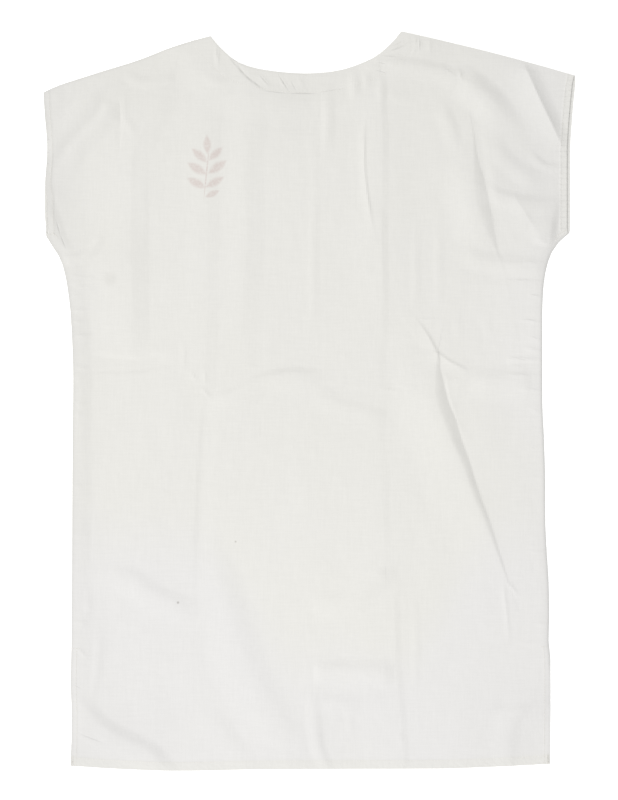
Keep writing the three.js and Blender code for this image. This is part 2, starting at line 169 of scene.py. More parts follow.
def edge_x(side, up):
    """x of a side edge: the body up to the underarm, and the sleeve above it."""
    return np.where(up < UNDERARM[side], body_edge[side](up), sleeve_edge[side](up))


def edge_slant(side, up):
    """How much further it is along a side edge than straight up, 1 where it is upright."""
    return np.hypot(1, (edge_x(side, up + 1) - edge_x(side, up - 1)) / 2)


def top_height(neck, x):
    """Height of the shoulders and, between them, of a neckline."""
    height = np.where(x <= NECK_LEFT[0], shoulder_left(x), neck(x))
    return np.where(x >= NECK_RIGHT[0], shoulder_right(x), height)


def neckline(neck, count):
    """Points along a neckline, closer together where it is steep."""
    share = (1 - np.cos(np.pi * np.linspace(0, 1, count + 1))) / 2
    x = NECK_LEFT[0] + (NECK_RIGHT[0] - NECK_LEFT[0]) * share
    return np.stack([x, neck(x)], axis=1)


print(f"back neck {back_neck(0):.0f} mm up and front neck {front_neck(0):.0f} mm up")

# %% [markdown]
# ## A grid that follows the cut
#
# Cloth that lies flat is easiest to shape as a height above the table at every point of a
# grid. The grid's outer lines are the edges of the panel, with a line at each corner, and
# its cells are smaller where there is more to see: at the hems, the side seams and the neck.

# %% Grid of a panel
# Stretches of the shoulder line from left to right: length and cell size, mm.
COLUMN_PARTS = [(28.6, 1.8), (172, 3.07), (78, 2.44), (100, 3.1), (50.4, 1.8), (180.6, 1.88),
                (27.6, 1.4)]
# Stretches of the side edges from the hem up: where each ends left and right, and cell size.
ROW_PARTS = [(17, 19, 1.5), (146, 156, 3.25), (380, 380, 3.25), (641, 645, 2.18),
             (778, 785, 2.46), (813.6, 834, 1.6)]
COARSER = 4  # grid cells along a cell of the hidden face


def cell_count(length, cell):
    """A number of cells that the hidden face's larger ones divide."""
    return COARSER * max(1, round(length / cell / COARSER))


def panel_grid(neck, left_edge, right_edge, coarser=1.0):
    """x and up of every grid point of a panel, row by row from the hem."""
    across = [0.0]
    done = 0.0
    for length, cell in COLUMN_PARTS:
        count = cell_count(length, cell * coarser)
        across += list(done + length * np.arange(1, count + 1) / count)
        done += length
    across = np.array(across) / done
    left_up, right_up = [float(BODY_LEFT[0][0])], [float(BODY_RIGHT[0][0])]
    for left_end, right_end, cell in ROW_PARTS:
        count = cell_count(right_end - right_up[-1], cell * coarser)
        left_up += list(np.linspace(left_up[-1], left_end, count + 1)[1:])
        right_up += list(np.linspace(right_up[-1], right_end, count + 1)[1:])
    left_up, right_up = np.array(left_up), np.array(right_up)
    left_x, right_x = left_edge(left_up), right_edge(right_up)
    left_share = (left_up - left_up[0]) / (left_up[-1] - left_up[0])
    right_share = (right_up - right_up[0]) / (right_up[-1] - right_up[0])
    share = left_share[:, None] * (1 - across) + right_share[:, None] * across
    x = left_x[:, None] * (1 - across) + right_x[:, None] * across
    bottom, top = hem_height(x[0]), top_height(neck, x[-1])
    return x, bottom * (1 - share) + top * share


print(f"{len(COLUMN_PARTS)} stretches across and {len(ROW_PARTS)} up")

# %% [markdown]
# ## Closed cloth from a grid
#
# A sheet could get its thickness from a Solidify modifier, but that spends half of its
# triangles on the face that nobody sees. Here the shown face has every grid point, the
# hidden one every fourth point, and a strip of flat triangles joins the two round the edge.

# %% Closed cloth
WALL = 0.8  # mm, one layer, drawn thicker than the real 0.3


def rim(rows, columns):
    """Indices round the edge of a grid, anticlockwise as seen from above."""
    index = np.arange(rows * columns).reshape(rows, columns)
    return np.concatenate([index[0, :-1], index[:-1, -1], index[-1, :0:-1], index[:0:-1, 0]])


def quads(rows, columns, first):
    """The faces of a grid whose points are numbered from "first"."""
    index = first + np.arange(rows * columns).reshape(rows, columns)
    corners = [index[:-1, :-1], index[:-1, 1:], index[1:, 1:], index[1:, :-1]]
    return np.stack([c.ravel() for c in corners], axis=1)


def windowed(reduce, height):
    """The least or the greatest height round each point of the hidden face."""
    reach = COARSER // 2
    padded = np.pad(height, reach, mode="edge")
    rows, columns = height.shape
    span = range(2 * reach + 1)
    near = [padded[i:i + rows, j:j + columns] for i in span for j in span]
    return reduce(np.stack(near), axis=0)[::COARSER, ::COARSER]


def cloth(name, x, up, shown, shown_on_top=True):
    """A closed sheet of cloth whose shown face has the given heights, in mm."""
    if shown_on_top:
        hidden = windowed(np.min, shown) - WALL
    else:
        hidden = windowed(np.max, shown) + WALL
    faces_shown = quads(*x.shape, 0)
    faces_hidden = quads(*hidden.shape, x.size)[:, ::-1]
    near = rim(*x.shape).reshape(-1, COARSER)
    near = np.concatenate([near, np.roll(near[:, :1], -1, axis=0)], axis=1)
    far = x.size + rim(*hidden.shape)
    far_end, half = np.roll(far, -1), COARSER // 2
    strip = [np.stack([far, near[:, i + 1], near[:, i]], axis=1) for i in range(half)]
    strip += [np.stack([far, far_end, near[:, half]], axis=1)]
    strip += [np.stack([far_end, near[:, i + 1], near[:, i]], axis=1) for i in range(half, COARSER)]
    strip = np.concatenate(strip)
    faces = faces_shown.tolist() + faces_hidden.tolist() + strip.tolist()
    if not shown_on_top:
        faces = [face[::-1] for face in faces]
    kept = slice(None, None, COARSER)
    points = np.concatenate([
        np.stack([x, up - LENGTH / 2, shown], axis=-1).reshape(-1, 3),
        np.stack([x[kept, kept], up[kept, kept] - LENGTH / 2, hidden], axis=-1).reshape(-1, 3),
    ])
    mesh = bpy.data.meshes.new(name)
    mesh.from_pydata((points * MM).tolist(), [], faces)
    flat_faces = [False] * (len(faces) - len(strip)) + [True] * len(strip)
    mesh.attributes.new("sharp_face", "BOOLEAN", "FACE").data.foreach_set("value", flat_faces)
    piece = bpy.data.objects.new(name, mesh)
    scene.collection.objects.link(piece)
    triangles = sum(len(face) - 2 for face in faces)
    print(f"{name}: {triangles} triangles, {points[:, 2].min():.2f} to {points[:, 2].max():.2f} mm")
    return piece


def paint(piece, name, shown_values):
    """Keeps a value for every point of the shown face, for the material to read."""
    values = np.concatenate([shown_values.ravel(), shown_values[::COARSER, ::COARSER].ravel()])
    attribute = piece.data.attributes.new(name, "FLOAT", "POINT")
    attribute.data.foreach_set("value", values.astype(np.float32))


print(f"cloth {WALL} mm thick")

# %% [markdown]
# ## Folds
#
# A cloth simulation gives folds, but not these ones: each crease of a pressed garment has
# its own history. So every crease is placed one by one, as a path with a height and two flanks.
# A "soft" fold is round, a "roll" has tipped over to its right and meets the cloth at an
# angle, a "step" goes down evenly on its right, and a "crease" is sharp along its ridge.
# A rise below nothing is a trough.


# %% How a fold is described
def rounded(s):
    """A flank with a round top and a round foot."""
    return (1 + np.cos(np.pi * s)) / 2


FLANKS = {
    # form: height of the left and the right flank at a share of the way to their feet
    "soft": (rounded, rounded),
    "roll": (rounded, lambda s: 1 - s ** 1.5),
    "step": (rounded, lambda s: 1 - s),
    "crease": (lambda s: (1 - s) ** 1.7, lambda s: (1 - s) ** 2),
}
main_folds, small_folds, front_folds = [], [], []


def fold(name, form, rise, left, right, path, folds=main_folds):
    """One fold. "left" and "right" are its flanks' widths as seen along the path, and the
    path holds x, up and the size of the fold there, from 0 to 1."""
    stations = np.array(path, float)
    steps = np.hypot(*np.diff(stations[:, :2], axis=0).T)
    along = np.concatenate([[0], np.cumsum(steps)])
    fine = np.linspace(0, along[-1], 4 * (len(path) - 1) + 1)
    line = [smooth(np.stack([along, column], axis=1))(fine) for column in stations.T]
    folds.append({"name": name, "form": form, "rise": rise, "left": left, "right": right,
                  "line": np.stack(line, axis=1)})


def tick(start, end, rise, width, folds=small_folds):
    """A short sharp crease that fades at both ends, shaded on the right of its way."""
    middle = ((start[0] + end[0]) / 2, (start[1] + end[1]) / 2)
    fold("tick", "crease", rise, width * 1.4, width,
         [(*start, 0.3), (*middle, 1), (*end, 0.1)], folds)


print("forms of a fold:", ", ".join(FLANKS))

# %% [markdown]
# A point's height on a fold depends on how far it is from the fold's line, on which side it
# lies, and how large the fold is at the nearest place of the line. All three are found for
# every point at once, one piece of the line after the other.


# %% Height of a fold
def fold_height(item, x, up):
    """Height of one fold at every point, worked out only where it reaches."""
    line = item["line"]
    reach = max(item["left"], item["right"])
    low, high = line[:, :2].min(axis=0) - reach, line[:, :2].max(axis=0) + reach
    near = (x > low[0]) & (x < high[0]) & (up > low[1]) & (up < high[1])
    px, pu = x[near], up[near]
    distance, side, size = np.full(px.shape, np.inf), np.zeros(px.shape), np.zeros(px.shape)
    for (x0, u0, s0), (x1, u1, s1) in zip(line[:-1], line[1:]):
        dx, du = x1 - x0, u1 - u0
        share = np.clip(((px - x0) * dx + (pu - u0) * du) / (dx * dx + du * du), 0, 1)
        ax, au = px - x0 - dx * share, pu - u0 - du * share
        away = np.hypot(ax, au)
        closer = away < distance
        distance = np.where(closer, away, distance)
        side = np.where(closer, dx * au - du * ax, side)
        size = np.where(closer, s0 + (s1 - s0) * share, size)
    on_left = side > 0
    keeps_slope = size if item["form"] == "roll" else 1
    width = np.where(on_left, item["left"], item["right"] * keeps_slope)
    share = np.clip(distance / np.maximum(width, 0.5), 0, 1)
    left_flank, right_flank = FLANKS[item["form"]]
    height = np.zeros_like(x)
    height[near] = item["rise"] * size * np.where(on_left, left_flank(share), right_flank(share))
    return height


def folds_height(folds, x, up):
    """Height of all the folds of a list together."""
    return sum((fold_height(item, x, up) for item in folds), np.zeros_like(x))


# %% [markdown]
# ### The large fold and what runs into it
#
# The cloth had one hard fold from the right hip to the waist. It has opened again, but its
# edge still leans over to the right, with a thin bright lip where the cloth lifts beyond its
# foot, and smaller creases fan out where it ends.

# %% Large fold
fold("large fold", "roll", 4.0, 58, 14.5,
     [(240, 222, 0.05), (235.4, 234, 0.14), (228.2, 252, 0.24), (219, 276, 0.36), (209.8, 300, 0.45),
      (199, 324, 0.56), (189.8, 348, 0.65), (181.5, 372, 0.72), (175.6, 384, 0.8),
      (169.8, 396, 0.92), (161.5, 420, 1), (155, 434, 1), (151.5, 446, 1), (150.8, 458, 0.85),
      (151, 468, 0.7), (151.7, 482, 0.42), (153.3, 496, 0.28), (154.8, 504, 0.08)])
fold("crest of the large fold", "soft", 0.5, 22, 10,
     [(240, 224, 0.2), (212, 300, 0.8), (191, 348, 1), (171, 396, 1), (155.5, 434, 0.6),
      (152.5, 452, 0.1)])
fold("lip of the large fold", "crease", 0.5, 4, 20,
     [(198, 372, 0.1), (188, 396, 0.3), (181, 412, 0.7), (175, 430, 0.9), (170, 446, 1),
      (166.5, 462, 0.9), (163, 478, 0.2)])
fold("upper end", "crease", 1.1, 14, 4.5,
     [(154, 500, 0.6), (149, 510, 1.1), (141.5, 524, 0.9), (134, 534, 0.5), (125, 546, 0.1)])
fold("ridge above", "soft", 0.3, 7, 12,
     [(144, 500, 0.1), (131, 520, 1), (119, 538, 0.9), (112, 548, 0.1)])
fold("branch to the right", "crease", 1.2, 12, 5,
     [(190, 480, 0.1), (182, 484, 0.8), (170, 490, 1), (156, 500, 0.7)])
fold("waist band, right", "soft", 2.4, 30, 20,
     [(268, 468, 0.3), (258, 468, 0.8), (236, 468, 1), (217, 467, 1), (190, 469, 0.3)])
fold("beyond the lip", "soft", 0.5, 28, 30,
     [(222, 372, 0.2), (212, 400, 1), (203, 428, 1), (196, 456, 0.2)])
tick((151, 542), (127, 542), 0.45, 4)
tick((259, 473), (235, 476), 0.3, 4.5)
tick((256, 494), (234, 493), 0.5, 4.5)
tick((256, 485), (240, 485), 0.5, 4.5)
fold("below the large fold", "crease", 0.55, 7, 5,
     [(240, 152, 0.1), (238, 180, 0.9), (235, 206, 1), (233, 226, 0.3)])
tick((250, 212), (237, 228), 0.8, 4)
print(f"{len(main_folds)} folds at the large fold")

# %% [markdown]
# ### The right sleeve
#
# A cap sleeve that is cut in one piece with the body never lies quite flat: the spare width
# under the shoulder runs out in rolls from the neck and the underarm to the sleeve's edge.

# %% Folds of the right sleeve
fold("sleeve line", "roll", 3.6, 42, 15.5,
     [(233.5, 598, 0.02), (228.5, 614, 0.07), (217.3, 636, 0.48), (206.4, 660, 0.92),
      (200, 684, 1), (197, 708, 0.87), (196.8, 732, 0.43), (196.8, 756, 0.18), (194, 780, 0.07),
      (192, 798, 0.01)])
fold("beyond the sleeve line", "soft", 0.9, 11, 30,
     [(236, 650, 0.1), (230, 676, 0.4), (224, 700, 0.9), (216, 748, 0.8), (208, 786, 0.2)])
fold("sleeve line, lower end", "crease", 0.14, 8, 5,
     [(257, 468, 0.1), (252, 504, 0.5), (245, 540, 0.5), (237, 584, 0.8), (231, 612, 1),
      (227, 626, 0.3)])
fold("shoulder tip crease", "crease", 4.5, 32, 16.5,
     [(305.5, 745.5, 0.15), (297.5, 761.5, 0.7), (289.9, 777.5, 1), (277.3, 803.5, 1),
      (266.3, 828.5, 0.9), (261.3, 839.5, 0.7), (258, 848.5, 0.25)])
fold("shoulder roll", "soft", 4.0, 30, 22,
     [(250, 758, 0.05), (239, 774, 0.35), (226, 792, 0.72), (212, 808, 1), (198, 819, 1),
      (182, 830, 0.3)])
fold("shoulder band", "soft", 1.5, 19, 12,
     [(180, 832, 0.4), (157, 839, 1), (133, 844, 1), (109, 847, 0.9), (88, 848, 0.1)])
fold("sleeve roll, upper", "soft", 1.2, 17, 14,
     [(276, 709, 0.2), (258, 715, 1), (244, 725, 1), (232, 738, 0.9), (219, 760, 0.1)])
fold("sleeve roll, middle", "soft", 0.9, 10, 6,
     [(306, 724, 0.3), (289, 724, 1), (277, 730, 1), (265, 742, 0.2)])
fold("sleeve roll, lower", "crease", 2.1, 30, 27,
     [(282, 634, 0.1), (272.5, 648, 0.6), (262, 664, 1), (253, 678, 0.9), (246, 689, 0.3),
      (241, 694, 0.05)])
fold("edge of the lower roll", "soft", 1.5, 18, 11,
     [(302, 680, 0.3), (283, 680, 0.7), (262, 682, 0.9), (243, 686, 1), (227, 691, 0.9),
      (212, 699, 0.3)])
fold("underarm roll", "soft", 2.9, 26, 11,
     [(287, 628, 0.3), (287.5, 640, 1), (288.5, 654, 1), (291, 668, 0.7), (294, 684, 0.2),
      (296, 696, 0.05)])
fold("inner sleeve", "soft", 1.0, 17, 12,
     [(176, 746, 0.1), (172, 764, 1), (165, 784, 1), (158, 800, 0.1)])
fold("under the sleeve, upper", "soft", 1.7, 18, 15,
     [(286, 606, 0.5), (253, 607, 1), (229, 609, 1), (205, 612, 0.9), (182, 622, 0.1)])
fold("under the sleeve, lower", "soft", 0.4, 11, 8,
     [(278, 583, 0.6), (240, 583, 1), (199, 581, 0.1)])
tick((251, 630), (229, 666), 0.15, 6)
tick((288, 632), (272, 638), 0.9, 4)
tick((183, 827), (180, 842), 0.6, 4)
print(f"{len(main_folds)} folds with the right sleeve's")

# %% [markdown]
# ### Press lines
#
# The dress was folded lengthways for storage. The iron has taken most of that out, and what
# is left is a few straight lines from the shoulders to the hem, some of them hollow.

# %% Press lines
fold("right press line", "step", 1.1, 42, 8,
     [(91, 250, 0.2), (90, 290, 0.5), (88, 340, 0.4), (84, 410, 0.3), (84, 470, 0.3), (88, 540, 0.5),
      (88, 600, 1), (87, 650, 1), (88, 700, 0.6), (88, 770, 1), (86, 800, 0.9), (85, 832, 0.2)])
fold("right press line, lower", "step", 0.7, 50, 7,
     [(113, 10, 0.9), (110.5, 60, 1), (107, 96, 0.8), (104, 132, 0.9), (103, 180, 0.9),
      (102, 232, 0.1)])
fold("beside the press line", "crease", 0.95, 9, 4,
     [(80, 636, 0.1), (76.5, 652, 0.3), (73.5, 668, 0.7), (71, 684, 1), (68.5, 702, 1),
      (66.5, 724, 1), (66, 744, 1), (66, 764, 0.7), (67, 780, 0.1)])
fold("left press line", "step", 2.1, 62, 21,
     [(-211, 486, 0.1), (-212, 540, 0.85), (-213, 620, 1), (-213, 700, 1), (-211, 738, 0.9),
      (-203, 758, 0.75), (-191, 782, 0.6), (-179, 804, 0.5), (-164, 838, 0.1)])
fold("beside the left press line", "step", 1.1, 22, 22,
     [(-196, 646, 0.1), (-195, 690, 0.8), (-190, 726, 0.5), (-184, 766, 0.05), (-178, 800, 0.02)])
fold("inner left press line", "step", 0.75, 34, 14,
     [(-125, 462, 0.2), (-124, 500, 1), (-122, 564, 0.6), (-121, 684, 0.9), (-119, 744, 0.9),
      (-117, 812, 0.1)])
fold("small dart", "crease", -0.4, 6, 5, [(-226, 735, 0.2), (-227, 760, 1), (-226, 786, 0.2)])
fold("inner left press line, lower", "soft", -0.55, 8, 19,
     [(-134, 196, 0.1), (-132, 264, 0.8), (-130, 324, 1), (-127, 384, 1), (-122, 446, 0.2)])
fold("left of centre", "step", 1.3, 34, 22,
     [(-79, 488, 0.1), (-79, 560, 0.6), (-76, 612, 1), (-74, 640, 0.9), (-76, 700, 1),
      (-72, 756, 0.9), (-70, 814, 0.2)])
fold("centre line", "soft", 0.45, 9, 9, [(5, 520, 0.1), (5, 600, 1), (6, 690, 0.7), (5, 772, 0.2)])
fold("right of centre", "soft", 1.0, 9, 12, [(20, 736, 0.1), (22, 780, 1), (22, 816, 0.4)])
fold("faint line", "soft", 0.45, 8, 9, [(127, 536, 0.1), (128, 600, 1), (127, 668, 0.1)])
fold("faint line", "soft", 0.5, 8, 10, [(154, 548, 0.1), (155, 610, 1), (154, 664, 0.1)])
fold("faint lower line", "soft", 0.35, 8, 8, [(127, 80, 0.1), (128, 140, 1), (127, 218, 0.1)])
fold("patch", "soft", 0.35, 9, 9, [(180, 512, 0.1), (179, 530, 1), (178, 546, 0.1)])
fold("patch", "soft", 0.35, 9, 9, [(216, 518, 0.1), (214, 536, 1), (212, 552, 0.1)])
tick((-150, 480), (-150, 514), 0.5, 5)
print(f"{len(main_folds)} folds with the press lines")

# %% [markdown]
# ### The waist
#
# A packed dress is folded across its waist too, and that fold has broken up into short
# pieces which don't line up from one side to the other.

# %% Folds across the waist
fold("waist trough, left", "soft", -1.7, 17, 10,
     [(-287, 485, 0.6), (-242, 485, 1), (-209, 485, 1), (-170, 492, 0.1)])
fold("waist fold, middle", "soft", 2.4, 26, 11,
     [(16, 472, 0.05), (4, 475, 0.35), (-11, 476, 0.8), (-29, 474.5, 1), (-42, 472.5, 1),
      (-58, 468.5, 1), (-68, 464, 1), (-78, 458, 0.9), (-95, 450, 0.7), (-113, 445, 0.3),
      (-122, 443, 0.1)])
fold("above the middle fold", "soft", 0.2, 5, 5, [(-54, 480, 0.2), (-66, 484, 1), (-78, 487, 0.2)])
fold("waist fold, right of middle", "soft", 0.9, 22, 12,
     [(96, 424, 0.1), (70, 429, 1), (45, 437, 1), (20, 446, 1), (4, 452, 0.2)])
fold("slanting ridge", "soft", 0.2, 7, 8, [(76, 438, 0.1), (32, 453, 1), (-12, 468, 0.1)])
tick((-135, 469), (-143, 480), 0.6, 4)
tick((-119, 448), (-129, 460), 0.6, 4)
tick((-124, 464), (-124, 480), 0.5, 4)
tick((108, 456), (83, 458), 0.7, 4)
tick((125, 461), (99, 464), 0.4, 4)
tick((32, 453), (20, 455), 0.4, 4)
tick((47, 496), (39, 499), 0.35, 4)
print(f"{len(main_folds)} folds with the waist's")

# %% [markdown]
# ### The left sleeve and the neck
#
# The left sleeve lies flatter than the right one. Round the neck the cloth is held by its
# facing, and there the creases are short and sharp.

# %% Folds of the left sleeve and the neck
fold("left sleeve roll", "soft", 3.2, 22, 20,
     [(-316, 736, 0.5), (-304, 753, 1), (-291, 768, 1), (-276, 784, 1), (-261, 800, 0.7),
      (-246, 813, 0.2), (-229, 822, 0.1)])
fold("left sleeve roll, inner", "soft", 2.2, 13, 20,
     [(-296, 724, 0.1), (-279, 748, 0.9), (-261, 767, 1), (-243, 786, 1), (-236, 804, 0.2)])
fold("left sleeve groove", "crease", -0.25, 5, 4,
     [(-226, 768, 0.1), (-226, 790, 1), (-225, 812, 0.2)])
fold("left sleeve ridge", "soft", 0.5, 4, 8, [(-221, 772, 0.1), (-222, 792, 1), (-223, 812, 0.3)])
fold("beside the ridge", "soft", 0.6, 8, 8, [(-210, 762, 0.1), (-215, 773, 1), (-219, 784, 0.1)])
fold("below the left shoulder", "soft", 0.9, 10, 11,
     [(-162, 842, 0.2), (-173, 829, 1), (-191, 825, 1), (-209, 828, 1), (-222, 838, 0.1)])
fold("left sleeve tip", "soft", 0.5, 14, 11,
     [(-304, 766, 0.1), (-303, 792, 0.8), (-302, 810, 1), (-301, 820, 0.7)])
fold("left underarm arc", "soft", 1.3, 10, 8,
     [(-248, 642, 0.1), (-257, 627.5, 0.8), (-267, 619, 1), (-281, 615, 1), (-295, 613, 0.4)])
tick((-262, 580), (-282, 582), 0.4, 4)
fold("neck crease, left", "crease", -0.8, 4, 9,
     [(-55, 819, 0.4), (-63, 825, 0.9), (-73, 832.5, 1), (-80.5, 840, 0.9), (-86, 848, 0.6),
      (-92, 855, 0.2)], small_folds)
fold("neck crease, far left", "crease", 0.4, 5, 4,
     [(-110, 846, 0.2), (-110.5, 858, 1), (-110.5, 870, 0.6)], small_folds)
tick((-109, 847), (-109, 867), 0.5, 4)
tick((-48, 821), (-60, 836), 0.5, 4)
tick((-25, 817), (-36, 834), 0.5, 4)
tick((-5, 816), (-13, 834), 0.35, 4)
fold("left of the neck", "soft", 0.6, 11, 9, [(-98, 824, 0.1), (-112, 828, 1), (-127, 830, 0.1)])
tick((127, 875), (93, 862), 0.6, 4)
tick((110, 858), (89, 855), 0.5, 3.5)
tick((109, 852), (76, 853), 0.45, 3.5)
tick((104, 847), (80, 851), 0.45, 3.5)
tick((86, 845), (66, 845), 0.4, 3.5)
tick((133, 864), (133, 880), 0.6, 4)
tick((145, 861), (145, 878), 0.5, 4)
fold("facing end", "crease", 0.5, 4, 4,
     [(121, 855, 0.3), (128, 868, 1), (127, 880, 0.4)], small_folds)
fold("below the facing", "soft", 1.2, 9, 10, [(54, 804, 0.1), (54, 820, 1), (53, 834, 0.4)])
fold("below the facing", "soft", 0.6, 7, 8, [(68, 818, 0.1), (69, 828, 1), (69, 838, 0.2)])
fold("below the facing", "soft", 0.8, 8, 9, [(86, 800, 0.1), (87, 814, 1), (86, 828, 0.3)])
fold("below the facing", "soft", 0.5, 10, 9, [(126, 806, 0.2), (110, 806, 1), (94, 808, 0.1)])
print(f"{len(main_folds)} folds with the neck's")

# %% [markdown]
# ### The skirt
#
# Below the waist the cloth lies in wide, shallow sweeps. At the corners the hem pulls them
# tight, and a roll crosses each corner.

# %% Folds of the skirt
fold("left corner roll", "soft", 2.4, 40, 17,
     [(-172, 2, 0.5), (-191, 20, 1), (-209, 30, 1), (-229, 40, 1), (-246, 50, 0.9),
      (-260, 62, 0.7), (-279, 88, 0.1)])
fold("left corner crease", "crease", 0.2, 7, 4,
     [(-246, 32, 0.1), (-256, 34, 1), (-268, 39, 1), (-281, 47, 0.2)], small_folds)
fold("hip sweep", "soft", 1.7, 46, 32,
     [(-28, 24, 0.2), (-34, 43, 0.8), (-49, 73, 1), (-67, 103, 1), (-83, 140, 1), (-92, 178, 1),
      (-101, 204, 0.9), (-113, 245, 0.5), (-118, 270, 0.1)])
fold("second sweep", "soft", 0.65, 30, 17,
     [(-69, 4, 0.4), (-80, 18, 0.9), (-92, 30, 1), (-109, 54, 1), (-127, 73, 0.1)])
fold("left hip fold", "soft", 1.5, 28, 17,
     [(-130, 190, 0.1), (-155, 198, 1), (-176, 206, 1), (-193, 216, 1), (-207, 226, 1),
      (-228, 234, 0.7), (-254, 238, 0.1)])
fold("lower arc", "soft", 1.9, 22, 20,
     [(108, 238, 0.1), (98, 236, 0.5), (86, 231, 1), (72, 220, 1), (52, 206, 1), (28, 198, 0.9),
      (4, 194, 0.1)])
fold("across the skirt", "soft", 1.8, 24, 17,
     [(102, 118, 0.1), (88, 119, 0.9), (50, 120, 1), (16, 120, 1), (5, 120, 0.2)])
fold("across the skirt, lower", "soft", 1.0, 18, 12, [(66, 80, 0.1), (38, 81, 1), (9, 82, 0.1)])
fold("hem fold", "soft", 1.1, 14, 10,
     [(21, 6, 0.8), (11, 30, 1), (7.5, 60, 0.8), (5, 98, 0.1)])
fold("beside the hem fold", "soft", 0.4, 8, 8, [(52, 38, 0.1), (49, 60, 1), (47, 80, 0.1)])
fold("right corner roll", "soft", 1.2, 26, 17,
     [(239, 2, 0.8), (238.5, 26, 1), (239, 46, 1), (242, 60, 0.7), (247, 70, 0.1)])
fold("across the right corner", "soft", 2.3, 14, 40,
     [(205, 64, 0.05), (226, 68, 0.35), (246, 69, 0.75), (264, 72, 1), (284, 78, 0.8)])
fold("slanting across the corner", "soft", 1.8, 24, 15,
     [(243, 62, 0.2), (250, 74, 0.8), (262, 84, 1), (282, 93, 0.8)])
tick((285, 151), (246, 154), 0.35, 4)
fold("inside the left side seam", "soft", 0.5, 9, 9,
     [(-258, 92, 0.1), (-253, 132, 1), (-250, 184, 0.1)])
fold("left seam allowance, lower", "soft", 0.6, 9, 9,
     [(-268, 176, 0.1), (-265, 198, 1), (-266, 220, 0.1)])
print(f"{len(main_folds)} folds and {len(small_folds)} small creases so far")

# %% [markdown]
# ### Seam puckers
#
# A seam is a little shorter than the cloth on either side of it, so short puckers leave it
# at right angles. No two are alike: each has its own place, reach and depth.

# %% Puckers along the side seams
SEAM_PUCKERS = {  # up, reach from the seam, rise, mm
    "right": [(609, 34, 0.25), (587, 56, 0.3), (569, 17, 0.35), (539, 27, 0.5), (518, 19, 0.45),
              (505, 22, 0.4), (493, 42, 0.55), (474, 44, 0.3), (456, 28, 0.45), (431, 16, 0.3),
              (352, 20, 0.25), (262, 24, 0.3), (176, 18, 0.3)],
    "left": [(608, 15, 0.4), (586, 24, 0.3), (569, 13, 0.3), (552, 19, 0.4), (538, 12, 0.3),
             (521, 21, 0.5), (482, 17, 0.4), (468, 12, 0.3), (439, 15, 0.4), (427, 11, 0.3),
             (340, 14, 0.25), (282, 25, 0.4), (176, 20, 0.4)],
}
PUCKER_WIDTH = 4.2  # mm


def pucker(side, up, reach, rise):
    """A short crease that leaves the seam at a right angle, shaded on its lower side."""
    inward = 1 if side == "left" else -1
    seam = float(edge_x(side, up))
    ends = [(seam + inward * 2, up), (seam + inward * reach, up + 2)]
    start, end = ends if side == "right" else ends[::-1]
    tick(start, end, 1.5 * rise, PUCKER_WIDTH)


for side, table in SEAM_PUCKERS.items():
    for up, reach, rise in table:
        pucker(side, up, reach, rise)
tick((279, 391), (255, 381), 0.5, 4)
tick((-251, 589), (-290, 595), 0.4, 4)
tick((-267, 137), (-279, 149), 0.5, 4)
print(f"{len(small_folds)} small creases in all")

# %% [markdown]
# ## How the back panel lies
#
# Its height has four parts: the layers under it, a little air away from the edges, the folds,
# and an unevenness that no hand would draw. The last comes from random numbers with fixed
# seeds, smoothed by a cubic spline so that no line of the random grid shows.

# %% Unevenness
# cell across and up and height, in mm, and seed
UNEVEN = [(75, 95, 0.5, 11), (15, 100, 0.13, 12), (24, 30, 0.12, 13), (11, 13, 0.035, 14)]


def uneven(x, up, cell_x, cell_up, seed):
    """Smooth random heights, about -1 to 1."""
    lattice = np.random.default_rng(seed).uniform(-1.6, 1.6, (96, 96))
    i, a = np.divmod(x / cell_x + 40, 1)
    j, b = np.divmod(up / cell_up + 8, 1)
    total = np.zeros_like(x)
    for column, weight_x in enumerate(spline_weights(a)):
        for row, weight_up in enumerate(spline_weights(b)):
            picked = lattice[(i.astype(int) + column) % 96, (j.astype(int) + row) % 96]
            total += weight_x * weight_up * picked
    return total


def spline_weights(t):
    """What four lattice points in a row count for, at a share t between the middle two."""
    return ((1 - t) ** 3 / 6, (3 * t ** 3 - 6 * t ** 2 + 4) / 6,
            (-3 * t ** 3 + 3 * t ** 2 + 3 * t + 1) / 6, t ** 3 / 6)


print(f"{len(UNEVEN)} sizes of unevenness")

# %% [markdown]
# Under the back lie the front and the facing. Where an edge of theirs ends below it, the back
# doesn't drop at once but slopes down to the layer beneath.

# %% Layers under the back
LAYER = 1.3  # mm, a layer of the CAD model with the gap above it
FACING_WIDTH, FACING_GAP, SEAM_GAP = 24, 0.4, 0.3  # mm
neck_points = neckline(back_neck, 60)


def neck_distance(x, up):
    """Distance to the back neckline."""
    away = [np.hypot(x - px, up - pu) for px, pu in neck_points]
    return np.min(away, axis=0)


def to_edges(x, up, neck=back_neck):
    """Distances to the nearer side edge, to the hem, and to the shoulder or neckline."""
    to_side = np.minimum(x - edge_x("left", up), edge_x("right", up) - x)
    return to_side, up - hem_height(x), top_height(neck, x) - up


def layers_under(x, up):
    """The front panel, except in its neck opening, and the facing near the neckline."""
    inside = (x > NECK_LEFT[0]) & (x < NECK_RIGHT[0])
    above = np.where(inside, up - front_neck(x), 0)
    bare = smooth_step(8, 34, above)
    facing = 1 - smooth_step(FACING_WIDTH + 8, FACING_WIDTH + 44, neck_distance(x, up))
    return LAYER * (1 - bare) + (LAYER + FACING_GAP - SEAM_GAP) * facing


print(f"a facing {FACING_WIDTH} mm wide under the back neckline")

# %% [markdown]
# The hems are turned under and held by a row of stitches near their inner edge. The cloth is
# a little higher where it lies double, and each row pulls a shallow dent into it.

